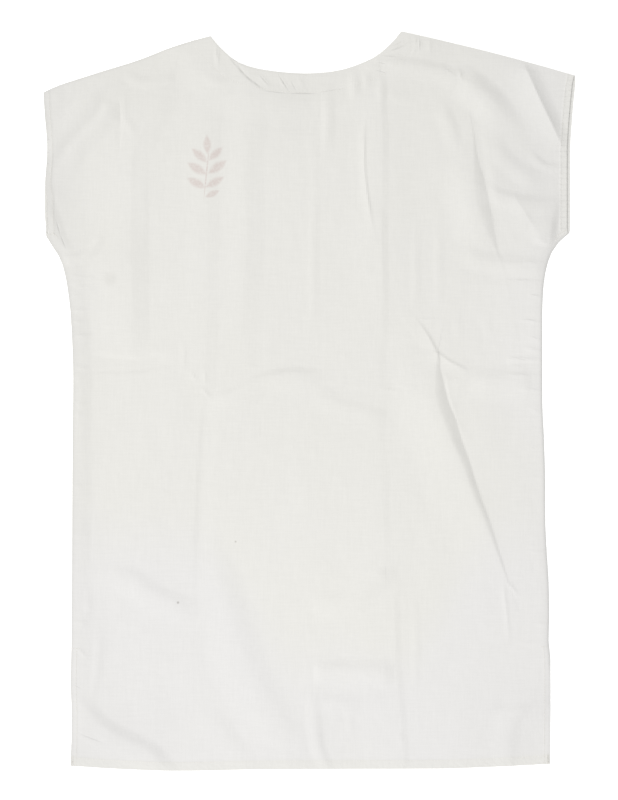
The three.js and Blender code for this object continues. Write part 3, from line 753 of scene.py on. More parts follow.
# %% Hems and their rows
HEM_TURN = 11  # mm, the bottom hem
EDGE_TURN = {"left": 7.6, "right": 8.4}  # mm, the hems of the vents and the sleeves
CREPT_IN = {"left": 3.5, "right": 2.2}  # mm, how far the back's sleeve edges lie inside
STITCH_IN = 1.2  # mm from a hem's inner edge to its row of stitches


def open_edge(side, up):
    """1 where a side edge is a hem, at the vent and the sleeve, and 0 along the seam."""
    return np.where((up < VENT_TOP[side]) | (up > UNDERARM[side]), 1.0, 0.0)


def back_edge(side, up):
    """x of the back panel's edge: its sleeve edges have crept in over the front's."""
    if side == "left":
        return edge_x(side, up) + CREPT_IN[side] * stretch((636, 646), (684, 706), up)
    along = smooth_step(640, 650, up) * (1 - 0.6 * smooth_step(822, 834, up))
    return edge_x(side, up) - CREPT_IN[side] * along


def band(distance, width, soft=2.0):
    """1 inside a hem of that width and 0 beyond it."""
    return 1 - smooth_step(width - soft / 2, width + soft / 2, distance)


def groove(distance, width):
    """The dent that a row of stitches pulls into the cloth, 1 along the row."""
    return np.exp(-(((distance - width) / 1.4) ** 2))


def doubled(x, up):
    """Where the cloth is turned under and lies double."""
    _, to_hem, _ = to_edges(x, up)
    left = band(x - back_edge("left", up), EDGE_TURN["left"]) * open_edge("left", up)
    right = band(back_edge("right", up) - x, EDGE_TURN["right"]) * open_edge("right", up)
    at_vent = np.where(up < VENT_TOP["left"] + 4, 0.3, 1.0)
    left, right = left * at_vent, right * at_vent
    return np.maximum.reduce([band(to_hem, HEM_TURN), left, right])


def rows_at(x, up):
    """How much each row dents the cloth, up to 1: those up the sides, and those across. The
    left sleeve's and the vents' rows were sewn with a slack thread and hardly show."""
    _, to_hem, _ = to_edges(x, up)
    from_left, from_right = x - back_edge("left", up), back_edge("right", up) - x
    left = groove(from_left, EDGE_TURN["left"] - STITCH_IN) * open_edge("left", up)
    right = groove(from_right, EDGE_TURN["right"] - STITCH_IN) * open_edge("right", up)
    at_vent = up < VENT_TOP["left"] + 4
    upright = np.maximum(0.12 * left, right) * np.where(at_vent, 0.2, 1.0)
    across = np.maximum(groove(to_hem, HEM_TURN - STITCH_IN),
                        groove(neck_distance(x, up), FACING_WIDTH - STITCH_IN))
    return upright, across


print(f"hems {HEM_TURN} mm wide below and {EDGE_TURN} mm at the sides")

# %% [markdown]
# The seams show as well. Where one wasn't pressed, the cloth rounds down to it, and where its
# turned edges lie behind the cloth they lift it.

# %% Seams
SEAM_ROUND = 0.9  # mm, how far the cloth bends down to a seam that was not pressed


def seam_bend(x, up):
    """The bend down to the right side seam and to the left shoulder seam."""
    vent, underarm = VENT_TOP["right"], UNDERARM["right"]
    along = stretch((vent - 50, vent - 10), (underarm - 8, underarm), up)
    reach = 1.8 - 0.5 * smooth_step(270, 370, up)
    bend = 1.2 * np.exp(-(edge_x("right", up) - x) / edge_slant("right", up) / reach) * along
    to_top = top_height(back_neck, x) - up
    bend += np.exp(-to_top / 2.2) * (1 - smooth_step(NECK_LEFT[0] - 30, NECK_LEFT[0], x))
    return -SEAM_ROUND * bend


def allowances(x, up):
    """What the left seam's turned edges and the left sleeve's hem add from inside."""
    underarm = UNDERARM["left"]
    to_left = x - edge_x("left", up)
    seam = stretch((80, 200), (underarm - 90, underarm), up) * (1 - smooth_step(9, 25, to_left))
    sleeve = smooth_step(underarm - 30, underarm, up) * (1 - 0.65 * smooth_step(670, 720, up))
    inner = 11.5 - 12 * smooth_step(underarm, 690, up)
    sleeve *= 1 - smooth_step(inner, inner + 15, to_left)
    return 0.45 * seam + 1.6 * sleeve


print(f"seams rounded by {SEAM_ROUND} mm")

# %% [markdown]
# Now everything is added up. A sheet that is held along its edges can't rise at once, so the
# folds and the unevenness grow from nothing at a seam to their full height further in.

# %% Height of the back panel
LOFT, LOFT_REACH = 0.5, 26  # mm of air under the cloth, and the way in over which it rises
HEM_EXTRA = 0.15  # mm, what the turned cloth adds


def back_height(x, up):
    """Height of the back panel's upper face above the table, in mm."""
    to_side, to_hem, to_top = to_edges(x, up)
    nearest = np.clip(np.minimum(np.minimum(to_side, to_hem), to_top), 0, None)
    rise = 1 - np.exp(-nearest / LOFT_REACH)
    # a hem is free, unlike a seam, and a fold runs out over it
    vent, underarm = VENT_TOP["left"], UNDERARM["left"]
    sewn = stretch((vent - 30, vent + 6), (underarm - 6, underarm + 24), up)
    to_seam = np.clip(np.minimum(to_side + 60 * (1 - sewn), to_top), 0, None)
    free = np.minimum(3 - 3 * np.exp(-to_seam / LOFT_REACH), 1)
    held = 0.3 * np.minimum(rise * 3, 1) + 0.7 * free
    lying = LOFT * rise + folds_height(main_folds, x, up) * held
    for cell_x, cell_up, height, seed in UNEVEN:
        lying += height * uneven(x, up, cell_x, cell_up, seed) * held
    fine = folds_height(small_folds, x, up) * smooth_step(0, 5, nearest)
    detail = fine + HEM_EXTRA * doubled(x, up) + seam_bend(x, up) - 0.1 * np.maximum(*rows_at(x, up))
    detail += allowances(x, up)
    return layers_under(x, up) + WALL + np.clip(lying, 0, None) + detail


measured = back_height(np.array([-200.0, 0.0, 200.0]), np.array([300.0, 450.0, 700.0]))
print("height at three places", np.round(measured, 2), "mm")

# %% [markdown]
# ## The back panel
#
# The back panel is the piece that shows. Both of its sleeve edges lie a little further in
# than the front's, the left one only near the underarm, so that the hem of the front panel
# looks out from under them. Values painted on its points tell the material where the cloth
# is doubled, where the stitches run, where the seams and hems pull it, how age has yellowed
# it, how grey it is drawn, and where painted shade darkens its edges. A function works out
# each of them.

# %% Grey tone, age and painted edge shade
# x and up of the middle, reach across and up, mm, and how much greyer the cloth is there
TONES = [(-316, 730, 40, 130, 0.4), (-252, 710, 26, 110, 0.12), (-290, 620, 40, 60, 0.12),
         (262, 720, 50, 70, 0.2), (288, 640, 20, 45, 0.3), (-245, 30, 75, 50, 0.3),
         (240, 52, 48, 52, 0.24), (12, 34, 24, 60, 0.15), (-10, 230, 150, 150, -0.12),
         (268, 500, 45, 75, -0.14), (-215, 815, 44, 28, 0.18), (-15, 800, 34, 50, 0.16),
         (118, 680, 26, 110, 0.12), (200, 720, 40, 90, 0.1), (-180, 250, 60, 140, 0.06),
         (-294, 690, 13, 50, 0.17), (-225, 622, 52, 34, 0.11), (-252, 135, 20, 62, 0.14),
         (277, 715, 15, 85, 0.17), (200, 610, 24, 22, 0.12)]
GREY_ALL_OVER = 0.16


def tone(x, up):
    """How much greyer the cloth is drawn from place to place: an even grey, and patches that darken
    or lighten it.
    """
    patches = [change * np.exp(-((x - x0) / wide) ** 2 - ((up - up0) / high) ** 2)
               for x0, up0, wide, high, change in TONES]
    return GREY_ALL_OVER + sum(patches)


def warmth(x, up):
    """How yellow age has made the cotton: least low down and along the sides, but more again
    in the bottom hem and the right sleeve's hem, where it is doubled."""
    low = 75 + 150 * smooth_step(60, 190, np.abs(x - 45))
    reach = 60 + 35 * smooth_step(380, 460, up)
    right = (0.8 - 0.2 * smooth_step(600, 660, up)) * np.exp(-((x - 310) / reach) ** 2)
    left = 0.35 * np.exp(-((x + 310) / 40) ** 2)
    low_hem = 0.48 * band(up - hem_height(x), HEM_TURN)
    sleeve_hem = 0.3 * band(edge_x("right", up) - x, EDGE_TURN["right"]) * (up > UNDERARM["right"])
    turned = np.maximum(low_hem, sleeve_hem)
    return 0.7 * smooth_step(low, low + 110, up) * (1 - right - left) + turned


def edge_shade(x, up):
    """Painted shade along the edges and over the cloth that has a turning behind it, with a
    wider, fainter stretch of it by the left seam.
    """
    to_left, to_right = x - edge_x("left", up), edge_x("right", up) - x
    _, to_hem, to_top = to_edges(x, up)
    by_left = np.exp(-(to_left / edge_slant("left", up) / 2.6) ** 2)
    by_right = np.exp(-(to_right / edge_slant("right", up) / 2.4) ** 2)
    by_top = np.exp(-(to_top / 2.0) ** 2)
    in_seam = (up > VENT_TOP["right"] - 20) & (up < UNDERARM["right"] - 2)
    grey = np.maximum(0.6 * by_left, by_right * np.where(in_seam, 0.9, 0.4))
    grey = np.maximum(grey, by_top * np.where(x < 0, 0.45, 0.1))
    # painted shade over the left seam's allowance, a fainter, wider stretch of it round that, and
    # some in the bottom hem
    allowance = stretch((200, 300), (530, 560), up) * (1 - smooth_step(21, 25, to_left))
    left_side = (1 - smooth_step(14, 60, to_left)) * (1 - smooth_step(560, 620, up))
    in_hem = 1 - smooth_step(8, 16, to_hem)
    return grey + 0.15 * allowance + np.maximum(0.08 * in_hem, 0.128 * left_side)


print(f"{len(TONES)} patches that are greyer or paler")

# %% [markdown]
# A seam or a hem that has shrunk more than the cloth pulls it into small creases. How hard it
# pulls, and where, is painted too.


# %% Pull of seams and hems
def seam_pull(x, up):
    """How hard a side seam pulls the cloth, from the vent up to the underarm."""
    to_side, _, _ = to_edges(x, up)
    return np.exp(-to_side / 11) * ((up > VENT_TOP["left"]) & (up < UNDERARM["left"] + 4))


def hem_pull(x, up):
    """How hard the side hems pull the cloth along them, most of all at the sleeves."""
    left = 0.12 * open_edge("left", up) * np.exp(-(x - back_edge("left", up)) / 7)
    beyond_row = np.maximum(back_edge("right", up) - x - 6, 0)
    right = 0.27 * open_edge("right", up) * np.exp(-beyond_row / 4)
    return np.maximum(left, right) * np.where(up > UNDERARM["left"], 1.0, 0.3)


def hem_rope(x, up):
    """How far the bottom hem has twisted in the wash, here more and there less."""
    in_hem = 1 - smooth_step(6, 11, up - hem_height(x))
    return in_hem * np.clip(0.55 + 0.5 * uneven(x, up, 34, 90, 71), 0, 1)


at_sleeves = hem_pull(np.array([-310.0, 306.0]), np.array([740.0, 740.0]))
print("pull at the left and the right sleeve", np.round(at_sleeves, 2))

# %% [markdown]
# The material reads eight layers, and one function paints them all on a piece.


# %% Paint the layers
def paint_all(piece, x, up, edge_shade_share=1.0):
    """Paints on a piece all that the cotton material reads. A piece given a smaller share of the
    painted edge shade is given less of the grey tone all over, too."""
    upright, across = rows_at(x, up)
    grey = edge_shade(x, up) * edge_shade_share + tone(x, up) * (0.4 + 0.6 * edge_shade_share)
    layers = {"doubled": doubled(x, up), "upright_row": upright, "row_across": across,
              "seam_pull": seam_pull(x, up), "hem_pull": hem_pull(x, up),
              "warmth": warmth(x, up), "shade_and_grey": np.clip(grey, 0, 1.2),
              "hem_rope": hem_rope(x, up)}
    for name, values in layers.items():
        paint(piece, name, values)
    print(f"{piece.name}: {len(layers)} painted layers")


# %% [markdown]
# With its height and its painted layers settled, the panel itself takes three lines.

# %% Cut the back panel
x, up = panel_grid(back_neck, lambda up: back_edge("left", up), lambda up: back_edge("right", up))
back = cloth("back_cloth", x, up, back_height(x, up))
paint_all(back, x, up)

# %% [markdown]
# ## The front panel
#
# The front lies underneath, face down on the table, and shows only from below, at the neck
# opening and along the sleeves. It was ironed with the back, so it has creases like the
# back's, but the table has pressed them flat: they are shallow hollows in its lower face.

# %% Folds of the front
fold("front press line, left", "soft", 0.5, 8, 12,
     [(-96, 40, 0.2), (-98, 260, 1), (-94, 520, 0.6), (-98, 700, 1), (-97, 770, 0.2)], front_folds)
fold("front press line, right", "soft", 0.5, 12, 8,
     [(112, 20, 0.2), (115, 210, 1), (118, 430, 0.5), (114, 640, 1), (116, 780, 0.2)], front_folds)
fold("front centre line", "crease", 0.3, 7, 5,
     [(2, 60, 0.1), (4, 300, 1), (3, 520, 0.4)], front_folds)
fold("front waist fold", "soft", 0.7, 18, 11,
     [(150, 462, 0.1), (84, 456, 1), (20, 462, 0.8), (-36, 452, 0.1)], front_folds)
fold("front waist fold, left", "soft", 0.6, 12, 16,
     [(-88, 474, 0.1), (-150, 480, 1), (-232, 470, 0.8), (-268, 472, 0.1)], front_folds)
fold("front large fold", "roll", 0.9, 34, 9,
     [(-226, 190, 0.1), (-190, 262, 0.8), (-160, 338, 1), (-146, 402, 0.9),
      (-150, 446, 0.2)], front_folds)
fold("front hip sweep", "soft", 0.7, 30, 16,
     [(70, 60, 0.1), (96, 110, 1), (118, 172, 1), (160, 226, 0.1)], front_folds)
fold("front corner roll", "soft", 0.8, 20, 10,
     [(196, 14, 0.1), (224, 36, 1), (250, 68, 0.8), (268, 98, 0.1)], front_folds)
fold("front sleeve roll", "soft", 0.7, 18, 12,
     [(-284, 694, 0.1), (-250, 740, 1), (-214, 784, 1), (-180, 812, 0.1)], front_folds)
fold("front sleeve roll", "soft", 0.7, 14, 16,
     [(186, 806, 0.1), (218, 768, 1), (246, 716, 1), (262, 668, 0.1)], front_folds)
fold("front underarm fold", "crease", 0.6, 12, 8,
     [(-276, 604, 0.1), (-246, 622, 1), (-204, 630, 0.2)], front_folds)
fold("front neck crease", "crease", 0.5, 6, 5,
     [(-70, 764, 0.3), (-84, 746, 1), (-92, 716, 0.1)], front_folds)
fold("front neck crease", "crease", 0.4, 5, 6,
     [(52, 760, 0.3), (62, 738, 1), (66, 706, 0.1)], front_folds)
print(f"{len(front_folds)} folds of the front")

# %% [markdown]
# The shown face is the lower one here, so its heights are how far it hangs above the table.
# Where it is doubled it lies lowest, and along the rows of stitches it is drawn up.

# %% Front panel
TABLE_GAP = 0.1  # mm between the table and the front panel
FRONT_OUT = 2.0  # mm, how far its right sleeve edge lies outside the pattern's line


def front_height(x, up):
    """Height of the front panel's lower face above the table, in mm."""
    to_side, to_hem, to_top = to_edges(x, up, front_neck)
    nearest = np.clip(np.minimum(np.minimum(to_side, to_hem), to_top), 0, None)
    held = 1 - np.exp(-nearest / LOFT_REACH)
    lying = folds_height(front_folds, x, up)
    for cell_x, cell_up, height, seed in UNEVEN:
        lying += 0.3 * height * uneven(x, up, cell_x, cell_up, seed + 40)
    turned = 1 - doubled(x, up)
    dents = 0.2 * np.maximum(*rows_at(x, up))
    return TABLE_GAP + np.clip(lying, 0, None) * held + 0.12 * turned + dents


def front_edge(side, up):
    """x of the front panel's edge: at the right sleeve it lies outside the back's."""
    if side == "left":
        return edge_x(side, up)
    along = smooth_step(640, 650, up) * (1 - 0.8 * smooth_step(826, 834, up))
    return edge_x(side, up) + FRONT_OUT * along


x, up = panel_grid(front_neck, lambda up: front_edge("left", up),
                   lambda up: front_edge("right", up), coarser=1.3)
front = cloth("front_cloth", x, up, front_height(x, up), shown_on_top=False)
paint_all(front, x, up, edge_shade_share=0.2)

# %% [markdown]
# ## The back neck facing
#
# A facing is a shaped band, sewn to the neckline and turned to the inside. It follows the
# neckline at a right angle, and at its ends it runs along the shoulder seams. From below it
# shows in the front's deeper neck opening, so its shown face is the lower one.

# %% Back neck facing
FACING_STEPS, FACING_CELLS = 96, 12
TURNING_STEPS = 20  # from each end, the steps over which it turns to run along the shoulder
seam_line = neckline(back_neck, FACING_STEPS)
tangent = np.gradient(seam_line, axis=0)
inward = np.stack([tangent[:, 1], -tangent[:, 0]], axis=1)
inward /= np.linalg.norm(inward, axis=1)[:, None]
steps = np.arange(FACING_STEPS + 1)
ends = [(np.subtract(SHOULDER_LEFT[-2], NECK_LEFT), steps),
        (np.subtract(SHOULDER_RIGHT[1], NECK_RIGHT), steps[::-1])]
for seam, away in ends:
    blend = (1 - smooth_step(0, TURNING_STEPS, away))[:, None]
    inward = inward * (1 - blend) + seam / np.linalg.norm(seam) * blend
inward /= np.linalg.norm(inward, axis=1)[:, None]
depth = np.linspace(FACING_WIDTH, 0, FACING_CELLS + 1)[:, None]
x = seam_line[:, 0] + inward[:, 0] * depth
up = seam_line[:, 1] + inward[:, 1] * depth
turned_edge = 0.2 * (1 - band(FACING_WIDTH - depth, 6))
lower_face = layers_under(x, up) - FACING_GAP - WALL + turned_edge
facing = cloth("facing_cloth", x, up, lower_face, shown_on_top=False)
paint_all(facing, x, up)

# %% [markdown]
# ## Small helpers for materials
#
# Colours are written as the hex values that a colour picker shows, which are sRGB, while
# shaders work with linear light. One function turns one into the other. A second one adds a
# node, with its settings and what is linked into it.


# %% Colour and node helpers
def linear(hex_colour):
    """A linear RGBA colour from an sRGB hex value."""
    parts = [int(hex_colour[i:i + 2], 16) / 255 for i in (1, 3, 5)]
    return (*[p / 12.92 if p <= 0.04045 else ((p + 0.055) / 1.055) ** 2.4 for p in parts], 1)


def add(tree, kind, inputs=(), **settings):
    """Adds a node. "inputs" gives each socket, by name or number, a value or a link."""
    node = tree.nodes.new(kind)
    for key, value in settings.items():
        setattr(node, key, value)
    for socket, value in dict(inputs).items():
        if isinstance(value, bpy.types.NodeSocket):
            tree.links.new(value, node.inputs[socket])
        else:
            node.inputs[socket].default_value = value
    return node


def new_material(name):
    """A material with an empty node tree."""
    material = bpy.data.materials.new(name)
    material.use_nodes = True
    tree = material.node_tree
    tree.nodes.clear()
    return material, tree


print("white cotton", [round(c, 3) for c in linear("#DEDDDC")[:3]])

# %% [markdown]
# ## A leaf sprig
#
# A small motif is printed in dull red on the left breast of the front, and the print can be
# seen faintly from behind, through two layers of thin cotton. It is a plain sprig: a stem and
# pairs of pointed leaves. Each leaf is a formula, so that the same leaves serve the print and
# its ghost at any sharpness.

# %% The printed sprig
# x and up of the middle, turn in degrees, half length and half width, mm
SPRIG = [(-123, 716, 84, 31, 0.9), (-122, 751, 92, 11, 4.2), (-131, 738, 138, 12, 4.4),
         (-112, 740, 44, 11, 4.2), (-134, 722, 148, 13, 4.8), (-110, 724, 36, 13, 4.8),
         (-135, 705, 152, 12, 4.6), (-113, 706, 30, 12, 4.4), (-116, 692, 26, 9, 3.4)]


def sprig_mask(tree, place, blur):
    """1 on the print and 0 off it. "blur" softens its edges, as a share of a leaf's width."""
    nearest = None
    for x, up, turn, length, width in SPRIG:
        leaf = add(tree, "ShaderNodeMapping", {
            "Vector": place,
            "Location": (x * MM, (up - LENGTH / 2) * MM, 0),
            "Rotation": (0, 0, math.radians(turn)),
            "Scale": (length * MM, width * MM, 1),
        }, vector_type="TEXTURE")
        parts = add(tree, "ShaderNodeSeparateXYZ", {0: leaf.outputs[0]})
        off_middle = add(tree, "ShaderNodeMath", {0: parts.outputs[1]}, operation="ABSOLUTE")
        reach = add(tree, "ShaderNodeMath", {0: parts.outputs[0], 1: parts.outputs[0],
                                             2: off_middle.outputs[0]}, operation="MULTIPLY_ADD")
        if nearest is None:
            nearest = reach
        else:
            nearest = add(tree, "ShaderNodeMath", {0: nearest.outputs[0], 1: reach.outputs[0]},
                          operation="MINIMUM")
    return add(tree, "ShaderNodeMapRange", {
        "Value": nearest.outputs[0], "From Min": 1 + blur, "From Max": 1 - blur,
        "To Min": 0.0, "To Max": 1.0}, interpolation_type="SMOOTHSTEP").outputs[0]


print(f"{len(SPRIG) - 1} leaves and a stem")

# %% [markdown]
# ## Cotton plain weave
#
# Washed white cotton is never a clean white: it is uneven from thread to thread and yellowed
# a little by age, and here it is drawn greyer in patches, with painted shade along its edges
# and in its hollows. The weave is one thread over and one under, some 22 threads to the
# centimetre. That is too fine for a picture of the whole dress, so it is drawn at 10 to the
# centimetre, with thicker threads here and there as spun cotton has them. The bumps are soft,
# because pressed cotton is matt and nearly smooth. A function makes each layer of the
# material, and the last one puts them together.

# %% Threads
THREAD = 1.0  # mm from thread to thread, drawn about twice as coarse as the real one
SLUB_LENGTH = 26  # mm, how far a thicker stretch of thread runs
SLUB_WIDTH = 1.6


def wave_scale(period):
    """The Wave texture's scale for a wave of that length in metres."""
    return 2 * math.pi / (20 * period)


def threads(tree, place):
    """Bumps where warp and weft cross, and slubs along both."""
    warp, weft = (add(tree, "ShaderNodeTexWave", {
        "Vector": place, "Scale": wave_scale(2 * THREAD * MM), "Distortion": 0.6, "Detail": 1.0,
        "Detail Scale": 0.6}, bands_direction=axis) for axis in ("X", "Y"))
    crossing = add(tree, "ShaderNodeMath", {0: warp.outputs["Fac"], 1: weft.outputs["Fac"]},
                   operation="MULTIPLY")
    slubs = []
    for scale in ((1 / SLUB_WIDTH, 1 / SLUB_LENGTH, 1), (1 / SLUB_LENGTH, 1 / SLUB_WIDTH, 1)):
        stretched = add(tree, "ShaderNodeMapping", {"Vector": place, "Scale": scale})
        slubs.append(add(tree, "ShaderNodeTexNoise", {
            "Vector": stretched.outputs[0], "Scale": 1 / MM, "Detail": 2.0, "Roughness": 0.6}))
    slub = add(tree, "ShaderNodeMath", {0: slubs[0].outputs["Fac"], 1: slubs[1].outputs["Fac"]})
    return crossing.outputs[0], slub.outputs[0]


print(f"threads {THREAD} mm apart")

# %% [markdown]
# Sewn cloth is never quite smooth beside its stitches. Short dashes pucker it across each row
# and longer ones leave the side seams. Each is a noise that is stretched along the dash, and
# a painted layer says where it shows. The dashes also darken the colour, as painted shade in
# their hollows.

# %% Puckers
# painted layer, length of its dashes across and up in mm, and strength
DASHES = [("upright_row", 6, 1.7, 0.6), ("row_across", 1.9, 6, 0.25), ("seam_pull", 16, 3.2, 0.45),
          ("doubled", 3.5, 3.5, 0.45)]


def puckers(tree, place):
    """All the dashes together, each kind only where its painted layer says."""
    total = 0.0
    for layer, across, up, strength in DASHES:
        stretched = add(tree, "ShaderNodeMapping", {
            "Vector": place, "Scale": (1 / across, 1 / up, 1)})
        dashes = add(tree, "ShaderNodeTexNoise", {"Vector": stretched.outputs[0], "Scale": 1 / MM,
                                                  "Detail": 1.0})
        amount = add(tree, "ShaderNodeAttribute", attribute_name=layer)
        shown = add(tree, "ShaderNodeMath", {0: dashes.outputs["Fac"], 1: amount.outputs["Fac"]},
                    operation="MULTIPLY")
        total = add(tree, "ShaderNodeMath", {0: shown.outputs[0], 1: strength, 2: total},
                    operation="MULTIPLY_ADD").outputs[0]
    return total


print(f"{len(DASHES)} kinds of puckers")

# %% [markdown]
# A pulled hem does two things more. At about every third stitch the cloth folds a hair's
# breadth, in ticks across the row. And the bottom hem, which was washed many times, has
# twisted a little, so that slanting ropes run through it.

# %% Pulled hems
TICK = 6.6  # mm from tick to tick
ROPE = 5  # mm from rope to rope
ROPE_DEPTH = 0.17  # share of the deepest pinch


def pulled_hems(tree, place):
    """Depth of the ticks and the ropes, as a pinch has, which also darkens the colour as painted
    shade.
    """
    bands = add(tree, "ShaderNodeTexWave", {
        "Vector": place, "Scale": wave_scale(TICK * MM), "Distortion": 1.6, "Detail": 1.0,
        "Detail Scale": 3.0}, bands_direction="Y")
    narrow = add(tree, "ShaderNodeMapRange", {"Value": bands.outputs["Fac"], "From Min": 0.6,
                                              "From Max": 1.0})
    pull = add(tree, "ShaderNodeAttribute", attribute_name="hem_pull")
    ticks = add(tree, "ShaderNodeMath", {0: narrow.outputs[0], 1: pull.outputs["Fac"]},
                operation="MULTIPLY")
    slants = add(tree, "ShaderNodeTexWave", {
        "Vector": place, "Scale": wave_scale(ROPE * MM), "Distortion": 6.0, "Detail": 2.0,
        "Detail Scale": 2.0}, bands_direction="DIAGONAL")
    rope = add(tree, "ShaderNodeMapRange", {"Value": slants.outputs["Fac"], "From Min": 0.35,
                                            "From Max": 1.0})
    twist = add(tree, "ShaderNodeAttribute", attribute_name="hem_rope")
    ropes = add(tree, "ShaderNodeMath", {0: rope.outputs[0], 1: twist.outputs["Fac"]},
                operation="MULTIPLY")
    return add(tree, "ShaderNodeMath", {0: ropes.outputs[0], 1: ROPE_DEPTH, 2: ticks.outputs[0]},
               operation="MULTIPLY_ADD").outputs[0]


print(f"ticks {TICK} mm apart and ropes {ROPE} mm apart")

# %% [markdown]
# The sharpest little creases are narrower than a grid cell. They are drawn in the material,
# each as a long thin ellipse that is deepest along its middle, where painted shade darkens it.

# %% Pinches
# start and end as x and up, width in mm and depth
PINCHES = [
    # the crease left of the neck, and the small ones in the facing
    ((-96, 857), (-84, 842.5), 4.2, 0.45), ((-86, 846), (-75, 833), 4.4, 0.6),
    ((-78, 836), (-65, 825), 4.4, 0.6), ((-68, 827.5), (-56, 819), 4.0, 0.5),
    ((-61, 837), (-46, 820), 3.6, 0.5), ((-37.5, 837), (-23, 814), 3.8, 0.75),
    ((-22, 829), (-14, 814), 3.0, 0.4), ((-109.5, 870), (-109.5, 852), 3.0, 0.55),
    # along the middle of the facing's row
    ((-60, 816.5), (-20, 812.5), 2.8, 0.6), ((-32, 813), (18, 813), 3.4, 0.85),
    ((6, 812.5), (46, 820), 2.6, 0.4),
    # right of the neck, where the facing ends
    ((92, 861), (123, 873), 2.6, 0.7), ((98, 869), (119, 877), 2.2, 0.4),
    ((82, 858.5), (112, 856.5), 2.4, 0.4), ((79, 850.5), (96, 847.5), 2.4, 0.5),
    ((77, 841.5), (96, 836.5), 2.4, 0.45), ((133.5, 861), (133.5, 882), 3.0, 0.7),
    # the hem's corners
    ((-281, 47.5), (-240, 32), 3.6, 0.6), ((-283, 104), (-270, 98), 2.4, 0.4),
    ((288, 9), (288, 24), 5.0, 0.9),
    # the left sleeve's edge and underarm
    ((-303.5, 663), (-297, 640), 3.0, 0.6),
    ((-298.5, 645), (-290, 624), 3.0, 0.6), ((-315, 757.6), (-309, 757.6), 2.0, 0.6),
    ((-315, 741.6), (-309, 741.6), 2.0, 0.5), ((-315, 728.4), (-310, 728.4), 2.0, 0.5),
    # right underarm and waist
    ((283, 610), (205, 613), 5.0, 0.14), ((279, 591), (236, 589), 3.4, 0.14),
    ((279, 571), (262, 572), 3.0, 0.3), ((279, 541), (252, 542), 3.0, 0.35),
    ((279, 505), (258, 507), 3.0, 0.3), ((279, 493), (240, 494), 3.0, 0.3),
]


def pinch_depth(tree, place, pinches, depth):
    """Deepest along the middle of every pinch, and at least the depth that is given."""
    for (x0, up0), (x1, up1), width, deepest in pinches:
        fitted = add(tree, "ShaderNodeMapping", {
            "Vector": place,
            "Location": ((x0 + x1) / 2 * MM, ((up0 + up1) / 2 - LENGTH / 2) * MM, 0),
            "Rotation": (0, 0, math.atan2(up1 - up0, x1 - x0)),
            "Scale": (math.hypot(x1 - x0, up1 - up0) / 2 * MM, width / 2 * MM, 1),
        }, vector_type="TEXTURE")
        reach = add(tree, "ShaderNodeVectorMath", {0: fitted.outputs[0]}, operation="LENGTH")
        fade = add(tree, "ShaderNodeMapRange", {
            "Value": reach.outputs["Value"], "From Min": 1.0, "From Max": 0.0, "To Min": 0.0,
            "To Max": deepest}, interpolation_type="SMOOTHSTEP")
        depth = add(tree, "ShaderNodeMath", {0: depth, 1: fade.outputs[0]},
                    operation="MAXIMUM").outputs[0]
    return depth


print(f"{len(PINCHES)} pinches")

# %% [markdown]
# The colour starts from a warm and a cool white, mixed by age. What dims it comes after: the
# threads, painted shade in the hollows, painted shade that darkens the top of the dress
# towards the shoulders, and the grey tone with painted shade along the edges.

# %% Colour
WARM, COOL = "#DEDDD8", "#DEDDDC"
PATCH_SCALE = 9.0  # patches to the metre


def cotton_colour(tree, place, slub, puckered, pinched):
    """Colour of the plain cloth, without print or stains."""
    aged = add(tree, "ShaderNodeAttribute", attribute_name="warmth")
    shade_and_grey = add(tree, "ShaderNodeAttribute", attribute_name="shade_and_grey")
    patches = add(tree, "ShaderNodeTexNoise", {"Vector": place, "Scale": PATCH_SCALE, "Detail": 3.0})
    yellowing = add(tree, "ShaderNodeMath", {
        0: patches.outputs["Fac"], 1: 0.4, 2: aged.outputs["Fac"]},
        operation="MULTIPLY_ADD", use_clamp=True)
    tint = add(tree, "ShaderNodeMix", {"Factor": yellowing.outputs[0], "A": linear(COOL),
                                       "B": linear(WARM)}, data_type="RGBA")
    up_the_dress = add(tree, "ShaderNodeSeparateXYZ", {0: place}).outputs[1]
    # what dims the cloth, where it starts and ends, and the shade there: the thread slubs, painted
    # shade in the puckers and pinches, painted shade towards the shoulders, and the grey tone
    # with the painted edge shade
    shades = [(slub, 0.7, 1.3, 0.98, 1.015), (puckered, 0.3, 0.8, 1.0, 0.945),
              (pinched, 0.0, 1.0, 1.0, 0.93), (up_the_dress, 0.26, 0.44, 1.0, 0.972),
              (shade_and_grey.outputs["Fac"], 0.0, 1.0, 1.0, 0.88)]
    dimmed = 1.0
    for value, start, end, shade_at_start, shade_at_end in shades:
        shade = add(tree, "ShaderNodeMapRange", {
            "Value": value, "From Min": start, "From Max": end, "To Min": shade_at_start,
            "To Max": shade_at_end})
        dimmed = add(tree, "ShaderNodeMath", {0: dimmed, 1: shade.outputs[0]},
                     operation="MULTIPLY").outputs[0]
    return add(tree, "ShaderNodeVectorMath", {0: tint.outputs["Result"], "Scale": dimmed},
               operation="SCALE").outputs[0]


print("cotton from", COOL, "to", WARM)

# %% [markdown]
# The print has been washed out unevenly, and a few stains lie over everything, each a round
# spot that fades towards its edge.

# %% Print and stains
INK, STAIN = "#9C574F", "#8C8780"


def printed(tree, place, tone, strength, blur):
    """The sprig over a tone. "strength" is the share of the ink that shows."""
    ink = sprig_mask(tree, place, blur)
    washed = add(tree, "ShaderNodeTexNoise", {"Vector": place, "Scale": 420.0, "Detail": 1.0})
    left = add(tree, "ShaderNodeMapRange", {
        "Value": washed.outputs["Fac"], "From Min": 0.3, "From Max": 0.6,
        "To Min": 0.55 * strength, "To Max": strength})
    share = add(tree, "ShaderNodeMath", {0: ink, 1: left.outputs[0]}, operation="MULTIPLY")
    return add(tree, "ShaderNodeMix", {"Factor": share.outputs[0], "A": tone, "B": linear(INK)},
               data_type="RGBA").outputs["Result"]


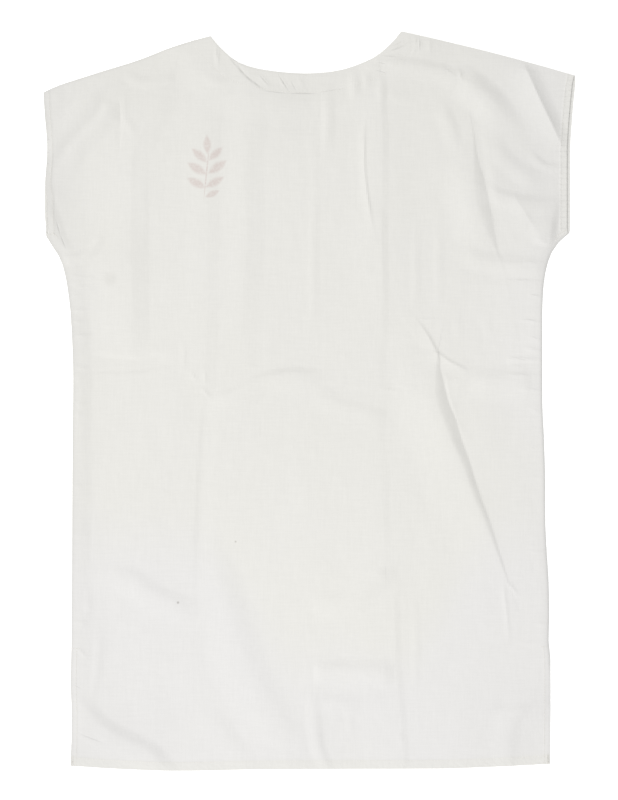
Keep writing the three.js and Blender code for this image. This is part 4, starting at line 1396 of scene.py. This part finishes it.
def stained(tree, place, tone, marks):
    """The stains over a tone."""
    for x, up, radius, strength in marks:
        spot = add(tree, "ShaderNodeMapping", {
            "Vector": place, "Location": (x * MM, (up - LENGTH / 2) * MM, 0),
            "Scale": (radius * MM, radius * MM, 1)}, vector_type="TEXTURE")
        flat = add(tree, "ShaderNodeVectorMath", {0: spot.outputs[0], 1: (1, 1, 0)},
                   operation="MULTIPLY")
        reach = add(tree, "ShaderNodeVectorMath", {0: flat.outputs[0]}, operation="LENGTH")
        share = add(tree, "ShaderNodeMapRange", {
            "Value": reach.outputs["Value"], "From Min": 1.0, "From Max": 0.2, "To Min": 0.0,
            "To Max": strength}, interpolation_type="SMOOTHSTEP")
        tone = add(tree, "ShaderNodeMix", {"Factor": share.outputs[0], "A": tone,
                                           "B": linear(STAIN)}, data_type="RGBA").outputs["Result"]
    return tone


print("ink", INK, "and stains", STAIN)

# %% [markdown]
# The surface is a stack of bumps, from the widest dents to the threads on top of them.

# %% Surface and material
DENT = 17  # mm across the small dents that pressing leaves


def surface(tree, place, crossing, slub, puckered, pinched):
    """The cloth's normal, with every bump."""
    dents = add(tree, "ShaderNodeTexNoise", {"Vector": place, "Scale": 1 / (DENT * MM), "Detail": 3.0,
                                             "Roughness": 0.55})
    # height, strength, distance in mm, and whether it goes down
    bumps = [(dents.outputs["Fac"], 1.0, 0.5, False), (slub, 0.25, 0.05, False),
             (puckered, 1.0, 0.5, False), (pinched, 1.0, 0.6, True), (crossing, 0.16, 0.08, False)]
    under = {}
    for height, strength, distance, downwards in bumps:
        bump = add(tree, "ShaderNodeBump", {
            "Height": height, "Strength": strength, "Distance": distance * MM, **under},
            invert=downwards)
        under = {"Normal": bump.outputs[0]}
    return bump.outputs[0]


def cotton(name, print_strength, print_blur, marks=(), pinches=()):
    """The dress's cloth. "marks" are stains: x, up, radius in mm and strength. "pinches" are
    small sharp creases: start, end, width in mm and depth from 0 to 1."""
    material, tree = new_material(name)
    place = add(tree, "ShaderNodeTexCoord").outputs["Object"]
    crossing, slub = threads(tree, place)
    puckered = puckers(tree, place)
    pinched = pinch_depth(tree, place, pinches, pulled_hems(tree, place))
    tone = cotton_colour(tree, place, slub, puckered, pinched)
    tone = printed(tree, place, tone, print_strength, print_blur)
    tone = stained(tree, place, tone, marks)
    rough = add(tree, "ShaderNodeMapRange", {"Value": crossing, "To Min": 0.84, "To Max": 0.94})
    shader = add(tree, "ShaderNodeBsdfPrincipled", {
        "Base Color": tone, "Roughness": rough.outputs[0], "Specular IOR Level": 0.3,
        "Sheen Weight": 0.12, "Sheen Roughness": 0.5,
        "Normal": surface(tree, place, crossing, slub, puckered, pinched)})
    add(tree, "ShaderNodeOutputMaterial", {"Surface": shader.outputs[0]})
    print(f"{name}: {len(tree.nodes)} nodes")
    return material


print(f"dents {DENT} mm across")

# %% [markdown]
# The back carries all the stains and pinches that show, and through it the print looks
# paler and softer than it is on the front.

# %% The three cottons
# x, up, radius in mm and strength of each stain
MARKS = [(-238, 590, 12, 0.08), (-157, 202, 2.2, 0.55), (-88, 275, 1.8, 0.4)]
back_cotton = cotton("cotton plain weave, back", 0.22, 0.5, MARKS, PINCHES)
front_cotton = cotton("cotton plain weave, front", 0.8, 0.08)
facing_cotton = cotton("cotton plain weave, facing", 0.0, 0.1)
for piece, material in ((back, back_cotton), (front, front_cotton), (facing, facing_cotton)):
    piece.data.materials.append(material)

# %% [markdown]
# ## Sewing thread
#
# The rows are sewn with spun cotton-polyester thread, a shade whiter than the washed cloth.
# It is two plies twisted together, which shows as slanting stripes when a stitch is seen
# close to.

# %% Thread
thread_material, tree = new_material("spun sewing thread")
place = add(tree, "ShaderNodeTexCoord").outputs["Object"]
ply = add(tree, "ShaderNodeTexWave", {"Vector": place, "Scale": wave_scale(0.9 * MM),
                                      "Distortion": 0.5}, bands_direction="DIAGONAL")
ply_colour = add(tree, "ShaderNodeMix", {"Factor": ply.outputs["Fac"], "A": linear("#D6D3CC"),
                                         "B": linear("#E9E7E1")}, data_type="RGBA")
ply_bump = add(tree, "ShaderNodeBump", {"Height": ply.outputs["Fac"], "Strength": 0.5,
                                        "Distance": 0.1 * MM})
shader = add(tree, "ShaderNodeBsdfPrincipled", {
    "Base Color": ply_colour.outputs["Result"], "Roughness": 0.6, "Sheen Weight": 0.2,
    "Normal": ply_bump.outputs[0]})
add(tree, "ShaderNodeOutputMaterial", {"Surface": shader.outputs[0]})
print("thread material ready")

# %% [markdown]
# ## Stitches
#
# A row of stitches is the same short piece of thread again and again, which is what Geometry
# Nodes are for. The tree takes a line, puts a point on it every stitch length, sets a small
# pill of thread on each point along the line, and turns each a little, as no machine sews a
# perfect row in soft cloth. Copies are made real at the end, because the export needs them.


# %% Stitch tree
def stitch_tree():
    """Geometry Nodes that set stitches along the edges of a mesh."""
    tree = bpy.data.node_groups.new("stitch row", "GeometryNodeTree")
    face = tree.interface
    face.new_socket("Geometry", in_out="INPUT", socket_type="NodeSocketGeometry")
    sizes = (("Stitch Pitch", 3.2 * MM), ("Stitch Length", 2.5 * MM), ("Thread Thickness", 0.55 * MM))
    for name, value in sizes:
        face.new_socket(name, in_out="INPUT", socket_type="NodeSocketFloat").default_value = value
    face.new_socket("Seed", in_out="INPUT", socket_type="NodeSocketInt").default_value = 5
    face.new_socket("Thread", in_out="INPUT", socket_type="NodeSocketMaterial")
    face.new_socket("Geometry", in_out="OUTPUT", socket_type="NodeSocketGeometry")
    given = add(tree, "NodeGroupInput").outputs

    curve = add(tree, "GeometryNodeMeshToCurve", {"Mesh": given["Geometry"]})
    points = add(tree, "GeometryNodeCurveToPoints", {
        "Curve": curve.outputs[0], "Length": given["Stitch Pitch"]}, mode="LENGTH")
    along = add(tree, "FunctionNodeAlignRotationToVector", {"Vector": points.outputs["Tangent"]},
                axis="X", pivot_axis="Z")
    jitter = add(tree, "FunctionNodeRandomValue", {
        "Min": (-0.08, -0.05, -0.09), "Max": (0.08, 0.05, 0.09), "Seed": given["Seed"]},
        data_type="FLOAT_VECTOR")
    turn = add(tree, "FunctionNodeEulerToRotation", {0: jitter.outputs[0]})
    turned = add(tree, "FunctionNodeRotateRotation", {
        "Rotation": along.outputs[0], "Rotate By": turn.outputs[0]}, rotation_space="LOCAL")
    pill = add(tree, "GeometryNodeMeshUVSphere", {"Segments": 8, "Rings": 6, "Radius": 0.5})
    size = add(tree, "ShaderNodeCombineXYZ", {
        "X": given["Stitch Length"], "Y": given["Thread Thickness"], "Z": given["Thread Thickness"]})
    stitch = add(tree, "GeometryNodeTransform", {
        "Geometry": pill.outputs["Mesh"], "Scale": size.outputs[0]})
    uneven_length = add(tree, "FunctionNodeRandomValue", {
        "Min": (0.86, 0.9, 0.9), "Max": (1.08, 1.1, 1.1), "Seed": given["Seed"]},
        data_type="FLOAT_VECTOR")
    row = add(tree, "GeometryNodeInstanceOnPoints", {
        "Points": points.outputs["Points"], "Instance": stitch.outputs[0],
        "Rotation": turned.outputs[0], "Scale": uneven_length.outputs[0]})
    real = add(tree, "GeometryNodeRealizeInstances", {"Geometry": row.outputs[0]})
    shaded = add(tree, "GeometryNodeSetShadeSmooth", {0: real.outputs[0]})
    threaded = add(tree, "GeometryNodeSetMaterial", {
        "Geometry": shaded.outputs[0], "Material": given["Thread"]})
    add(tree, "NodeGroupOutput", {"Geometry": threaded.outputs[0]})
    return tree


row_tree = stitch_tree()
print(f"stitch tree of {len(row_tree.nodes)} nodes")

# %% [markdown]
# Each set of rows becomes one plain mesh. The line that the stitches follow is only a guide,
# and goes when they have been made.


# %% Sewing
def sew(name, lines, seed, **sizes):
    """Stitches along lines of (x, up, height) points in mm, as one plain mesh."""
    points = np.concatenate(lines)
    edges, first = [], 0
    for line in lines:
        edges += [(first + i, first + i + 1) for i in range(len(line) - 1)]
        first += len(line)
    path = bpy.data.meshes.new(name + "_path")
    places = (points - (0, LENGTH / 2, 0)) * MM
    path.from_pydata(places.tolist(), edges, [])
    guide = bpy.data.objects.new(name + "_guide", path)
    scene.collection.objects.link(guide)
    modifier = guide.modifiers.new("stitch row", "NODES")
    modifier.node_group = row_tree
    sockets = {item.name: item.identifier for item in row_tree.interface.items_tree
               if item.in_out == "INPUT"}
    modifier[sockets["Seed"]] = seed
    modifier[sockets["Thread"]] = thread_material
    for socket, value in sizes.items():
        modifier[sockets[socket.replace("_", " ").title()]] = value * MM
    evaluated = guide.evaluated_get(bpy.context.evaluated_depsgraph_get())
    mesh = bpy.data.meshes.new_from_object(evaluated)
    bpy.data.objects.remove(guide)
    mesh.name = name
    piece = bpy.data.objects.new(name, mesh)
    scene.collection.objects.link(piece)
    print(f"{name}: {len(mesh.polygons)} faces")
    return piece


# %% [markdown]
# ## Where the rows run
#
# Each row keeps the same distance from its edge, and takes its height from the cloth that it
# is sewn through, sunk in by half a thread. Short bars of stitches, sewn back and forth, stop
# the cloth from tearing at the underarms, at the hem's corners and at the tops of the vents.

# %% Paths of the rows
SPACING = 3.0  # mm between the points that a row's path is drawn with
LIFT = 0.05  # mm, how far the middle of a stitch lies above the back
FRONT_LIFT = 0.15  # mm, the same above the front's lower face
HEM_ROW_SUNK, FINE_SUNK = 0.16, 0.1  # mm: the bottom hem's and the facing's rows lie deeper
HEM_ROW_ENDS = (-282, 285)  # x
FACING_ROW_SHORT = 6  # steps that the facing's row stops short of each end
# side, lower end and upper end of each row along a side hem
SIDE_ROWS = [("left", 8, VENT_TOP["left"]), ("right", 10, VENT_TOP["right"]),
             ("left", UNDERARM["left"] + 3, 812), ("right", UNDERARM["right"] + 3, 830)]
# start and end of each bar tack, as x and up: at the underarms, the hem's corners, the vents
BARS = [((-314, 641), (-307, 645)), ((-307, 645), (-302, 641)), ((308, 645), (296, 637)),
        ((309, 649), (294, 640)), ((-284, 7), (-284, 17)), ((-282.5, 7), (-282.5, 17)),
        ((287, 9), (287, 19)), ((285.5, 9), (285.5, 19)), ((-283, 147), (-276, 147)),
        ((284.5, 149), (278, 149))]


def on_cloth(x, up, height, lift):
    """Points of a row, lifted off the cloth that it is sewn through."""
    x, up = np.broadcast_arrays(np.asarray(x, float), np.asarray(up, float))
    return np.stack([x, up, height(x, up) + lift], axis=1)


def span(start, end):
    """Places from one end of a row to the other."""
    return np.linspace(start, end, max(2, int(abs(end - start) / SPACING) + 1))


def hem_row(height, lift):
    """The row along the bottom hem."""
    x = span(*HEM_ROW_ENDS)
    return on_cloth(x, hem_height(x) + HEM_TURN - STITCH_IN, height, lift)


def side_row(side, low, high, height, lift, edge):
    """The row along a vent's or a sleeve's hem."""
    up = span(low, high)
    inward = EDGE_TURN[side] - STITCH_IN
    x = edge(side, up) + (inward if side == "left" else -inward)
    return on_cloth(x, up, height, lift)


def bar(start, end, height, lift):
    """A straight bar of stitches between two points."""
    share = np.linspace(0, 1, 6)
    x = start[0] + (end[0] - start[0]) * share
    up = start[1] + (end[1] - start[1]) * share
    return on_cloth(x, up, height, lift)


def facing_row(height, lift):
    """The row along the facing's lower edge, which stops short of the shoulder seams."""
    shown = slice(FACING_ROW_SHORT, -FACING_ROW_SHORT)
    inner = seam_line[shown] + inward[shown] * (FACING_WIDTH - STITCH_IN)
    return on_cloth(inner[:, 0], inner[:, 1], height, lift)


def hem_rows(height, lift, edge):
    """Every row that hems a panel."""
    sides = [side_row(side, low, high, height, lift, edge) for side, low, high in SIDE_ROWS]
    return [hem_row(height, lift - HEM_ROW_SUNK), *sides]


print(f"{len(SIDE_ROWS) + 1} rows to a panel and {len(BARS)} bars")

# %% [markdown]
# The back's rows show most. Those of the facing are finer, and sunk further in, and the
# front's are on its lower face.

# %% Sew the rows
corner_bars = [bar(start, end, back_height, LIFT) for start, end in BARS]
back_rows = sew("back_stitching", hem_rows(back_height, LIFT, back_edge), 3)
facing_stitches = sew("facing_stitching", [facing_row(back_height, LIFT - FINE_SUNK)], 4,
                      thread_thickness=0.45)
tacks = sew("corner_tacks", corner_bars, 5, stitch_pitch=1.7, stitch_length=1.9)
front_rows = sew("front_stitching", hem_rows(front_height, FRONT_LIFT, edge_x), 6)

# %% [markdown]
# ## Loose thread ends
#
# Where a row of stitches ends, at the hem's corners and at an underarm, the threads were cut
# and not sewn in. Up to a centimetre of thread hangs out there, curled as it fell.

# %% Thread ends
# start x and up, then the way it curls: turn in degrees and length in mm of each stretch
ENDS = [((286, 12), [(-60, 3), (-95, 3), (-130, 3)]),
        ((-284, 12), [(-110, 3), (-80, 3), (-40, 2)]),
        ((-314, 644), [(160, 2), (120, 2)])]
END_RADIUS = 0.22  # mm
END_HEIGHT, END_DROP, END_LOWEST = 3.3, 0.9, 0.4  # mm: where it starts, its fall per stretch
curve = bpy.data.curves.new("thread_ends", "CURVE")
curve.dimensions = "3D"
curve.bevel_depth = END_RADIUS * MM
curve.bevel_resolution = 2
curve.use_fill_caps = True
for (x, up), stretches in ENDS:
    places = [(x, up, END_HEIGHT)]
    for turn, length in stretches:
        x += length * math.cos(math.radians(turn))
        up += length * math.sin(math.radians(turn))
        places.append((x, up, max(places[-1][2] - END_DROP, END_LOWEST)))
    spline = curve.splines.new("NURBS")
    spline.points.add(len(places) - 1)
    for point, (px, pu, pz) in zip(spline.points, places):
        point.co = (px * MM, (pu - LENGTH / 2) * MM, pz * MM, 1)
    spline.use_endpoint_u = True
    spline.order_u = 3
drawn = bpy.data.objects.new("thread_ends_curve", curve)
scene.collection.objects.link(drawn)
mesh = bpy.data.meshes.new_from_object(drawn.evaluated_get(bpy.context.evaluated_depsgraph_get()))
bpy.data.objects.remove(drawn)
mesh.materials.clear()
mesh.materials.append(thread_material)
thread_ends = bpy.data.objects.new("thread_ends", mesh)
scene.collection.objects.link(thread_ends)
print(f"{len(ENDS)} thread ends")

# %% [markdown]
# ## What stands for what
#
# Each sheet replaces its CAD solid, which is hidden, and rides on the one body, as the
# stitches and the thread ends do.

# %% Frame calls
for piece, node in ((back, "back_panel"), (front, "front_panel"), (facing, "back_neck_facing")):
    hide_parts(node)
for piece in (back, front, facing, back_rows, facing_stitches, tacks, front_rows, thread_ends):
    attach(piece, "root")
print("all pieces ride on root")

# %% [markdown]
# ## Table and light
#
# The dress lies on a plain white table under soft light. A wide lamp stands seven metres off
# to the left, so that its light slants across the folds and the far side gets almost as much
# of it as the near one. A small lamp beyond the hem lifts the skirt, and an even white sky
# fills the folds. The table glows a little, as a lit glass table does, so that it stays
# white right up to the cloth.

# %% Table and light
TABLE = 4.0  # metres from its middle to its edges
TABLE_SUNK = 0.05  # mm, how far it lies below the cloth's lowest point
GLOW = 0.4
table_mesh = bpy.data.meshes.new("floor")
corners = [(-TABLE, -TABLE, 0), (TABLE, -TABLE, 0), (TABLE, TABLE, 0), (-TABLE, TABLE, 0)]
table_mesh.from_pydata(corners, [], [(0, 1, 2, 3)])
floor = bpy.data.objects.new("floor", table_mesh)
floor.location.z = -TABLE_SUNK * MM
scene.collection.objects.link(floor)
table_material, tree = new_material("matt white table")
shader = add(tree, "ShaderNodeBsdfPrincipled", {
    "Base Color": linear("#FAFAFA"), "Roughness": 0.9, "Specular IOR Level": 0.0,
    "Emission Color": (1, 1, 1, 1), "Emission Strength": GLOW})
add(tree, "ShaderNodeOutputMaterial", {"Surface": shader.outputs[0]})
table_mesh.materials.append(table_material)


def lamp(name, place, size, power, colour):
    """A round soft lamp that faces the middle of the dress."""
    data = bpy.data.lights.new(name, "AREA")
    data.shape = "DISK"
    data.size = size
    data.energy = power
    data.color = colour
    piece = bpy.data.objects.new(name, data)
    piece.location = place
    piece.rotation_euler = (-Vector(place)).to_track_quat("-Z", "Y").to_euler()
    scene.collection.objects.link(piece)


# place and size in metres, power in watts, colour
lamp("wide lamp", (-6.6, -2.5, 5.6), 3.6, 408, (1.0, 1.0, 1.0))
lamp("lamp beyond the hem", (0.3, -2.8, 2.8), 1.4, 10.5, (0.97, 0.99, 1.0))

world = bpy.data.worlds.new("even sky")
world.use_nodes = True
world.node_tree.nodes.clear()
sky = add(world.node_tree, "ShaderNodeBackground", {
    "Color": (1.0, 0.9965, 0.9955, 1), "Strength": 0.796})
add(world.node_tree, "ShaderNodeOutputWorld", {"Surface": sky.outputs[0]})
scene.world = world
scene.view_settings.view_transform = "Standard"
print("table, lamps and sky are in place")

# %% [markdown]
# ## Sizes
#
# The shown cloth may stand a little proud of the CAD model's box, and no more. The CAD
# model's box is written down, in millimetres.

# %% Sizes and finish
print("cad", [round(v / MM, 1) for v in (*cad_low, *cad_high)])
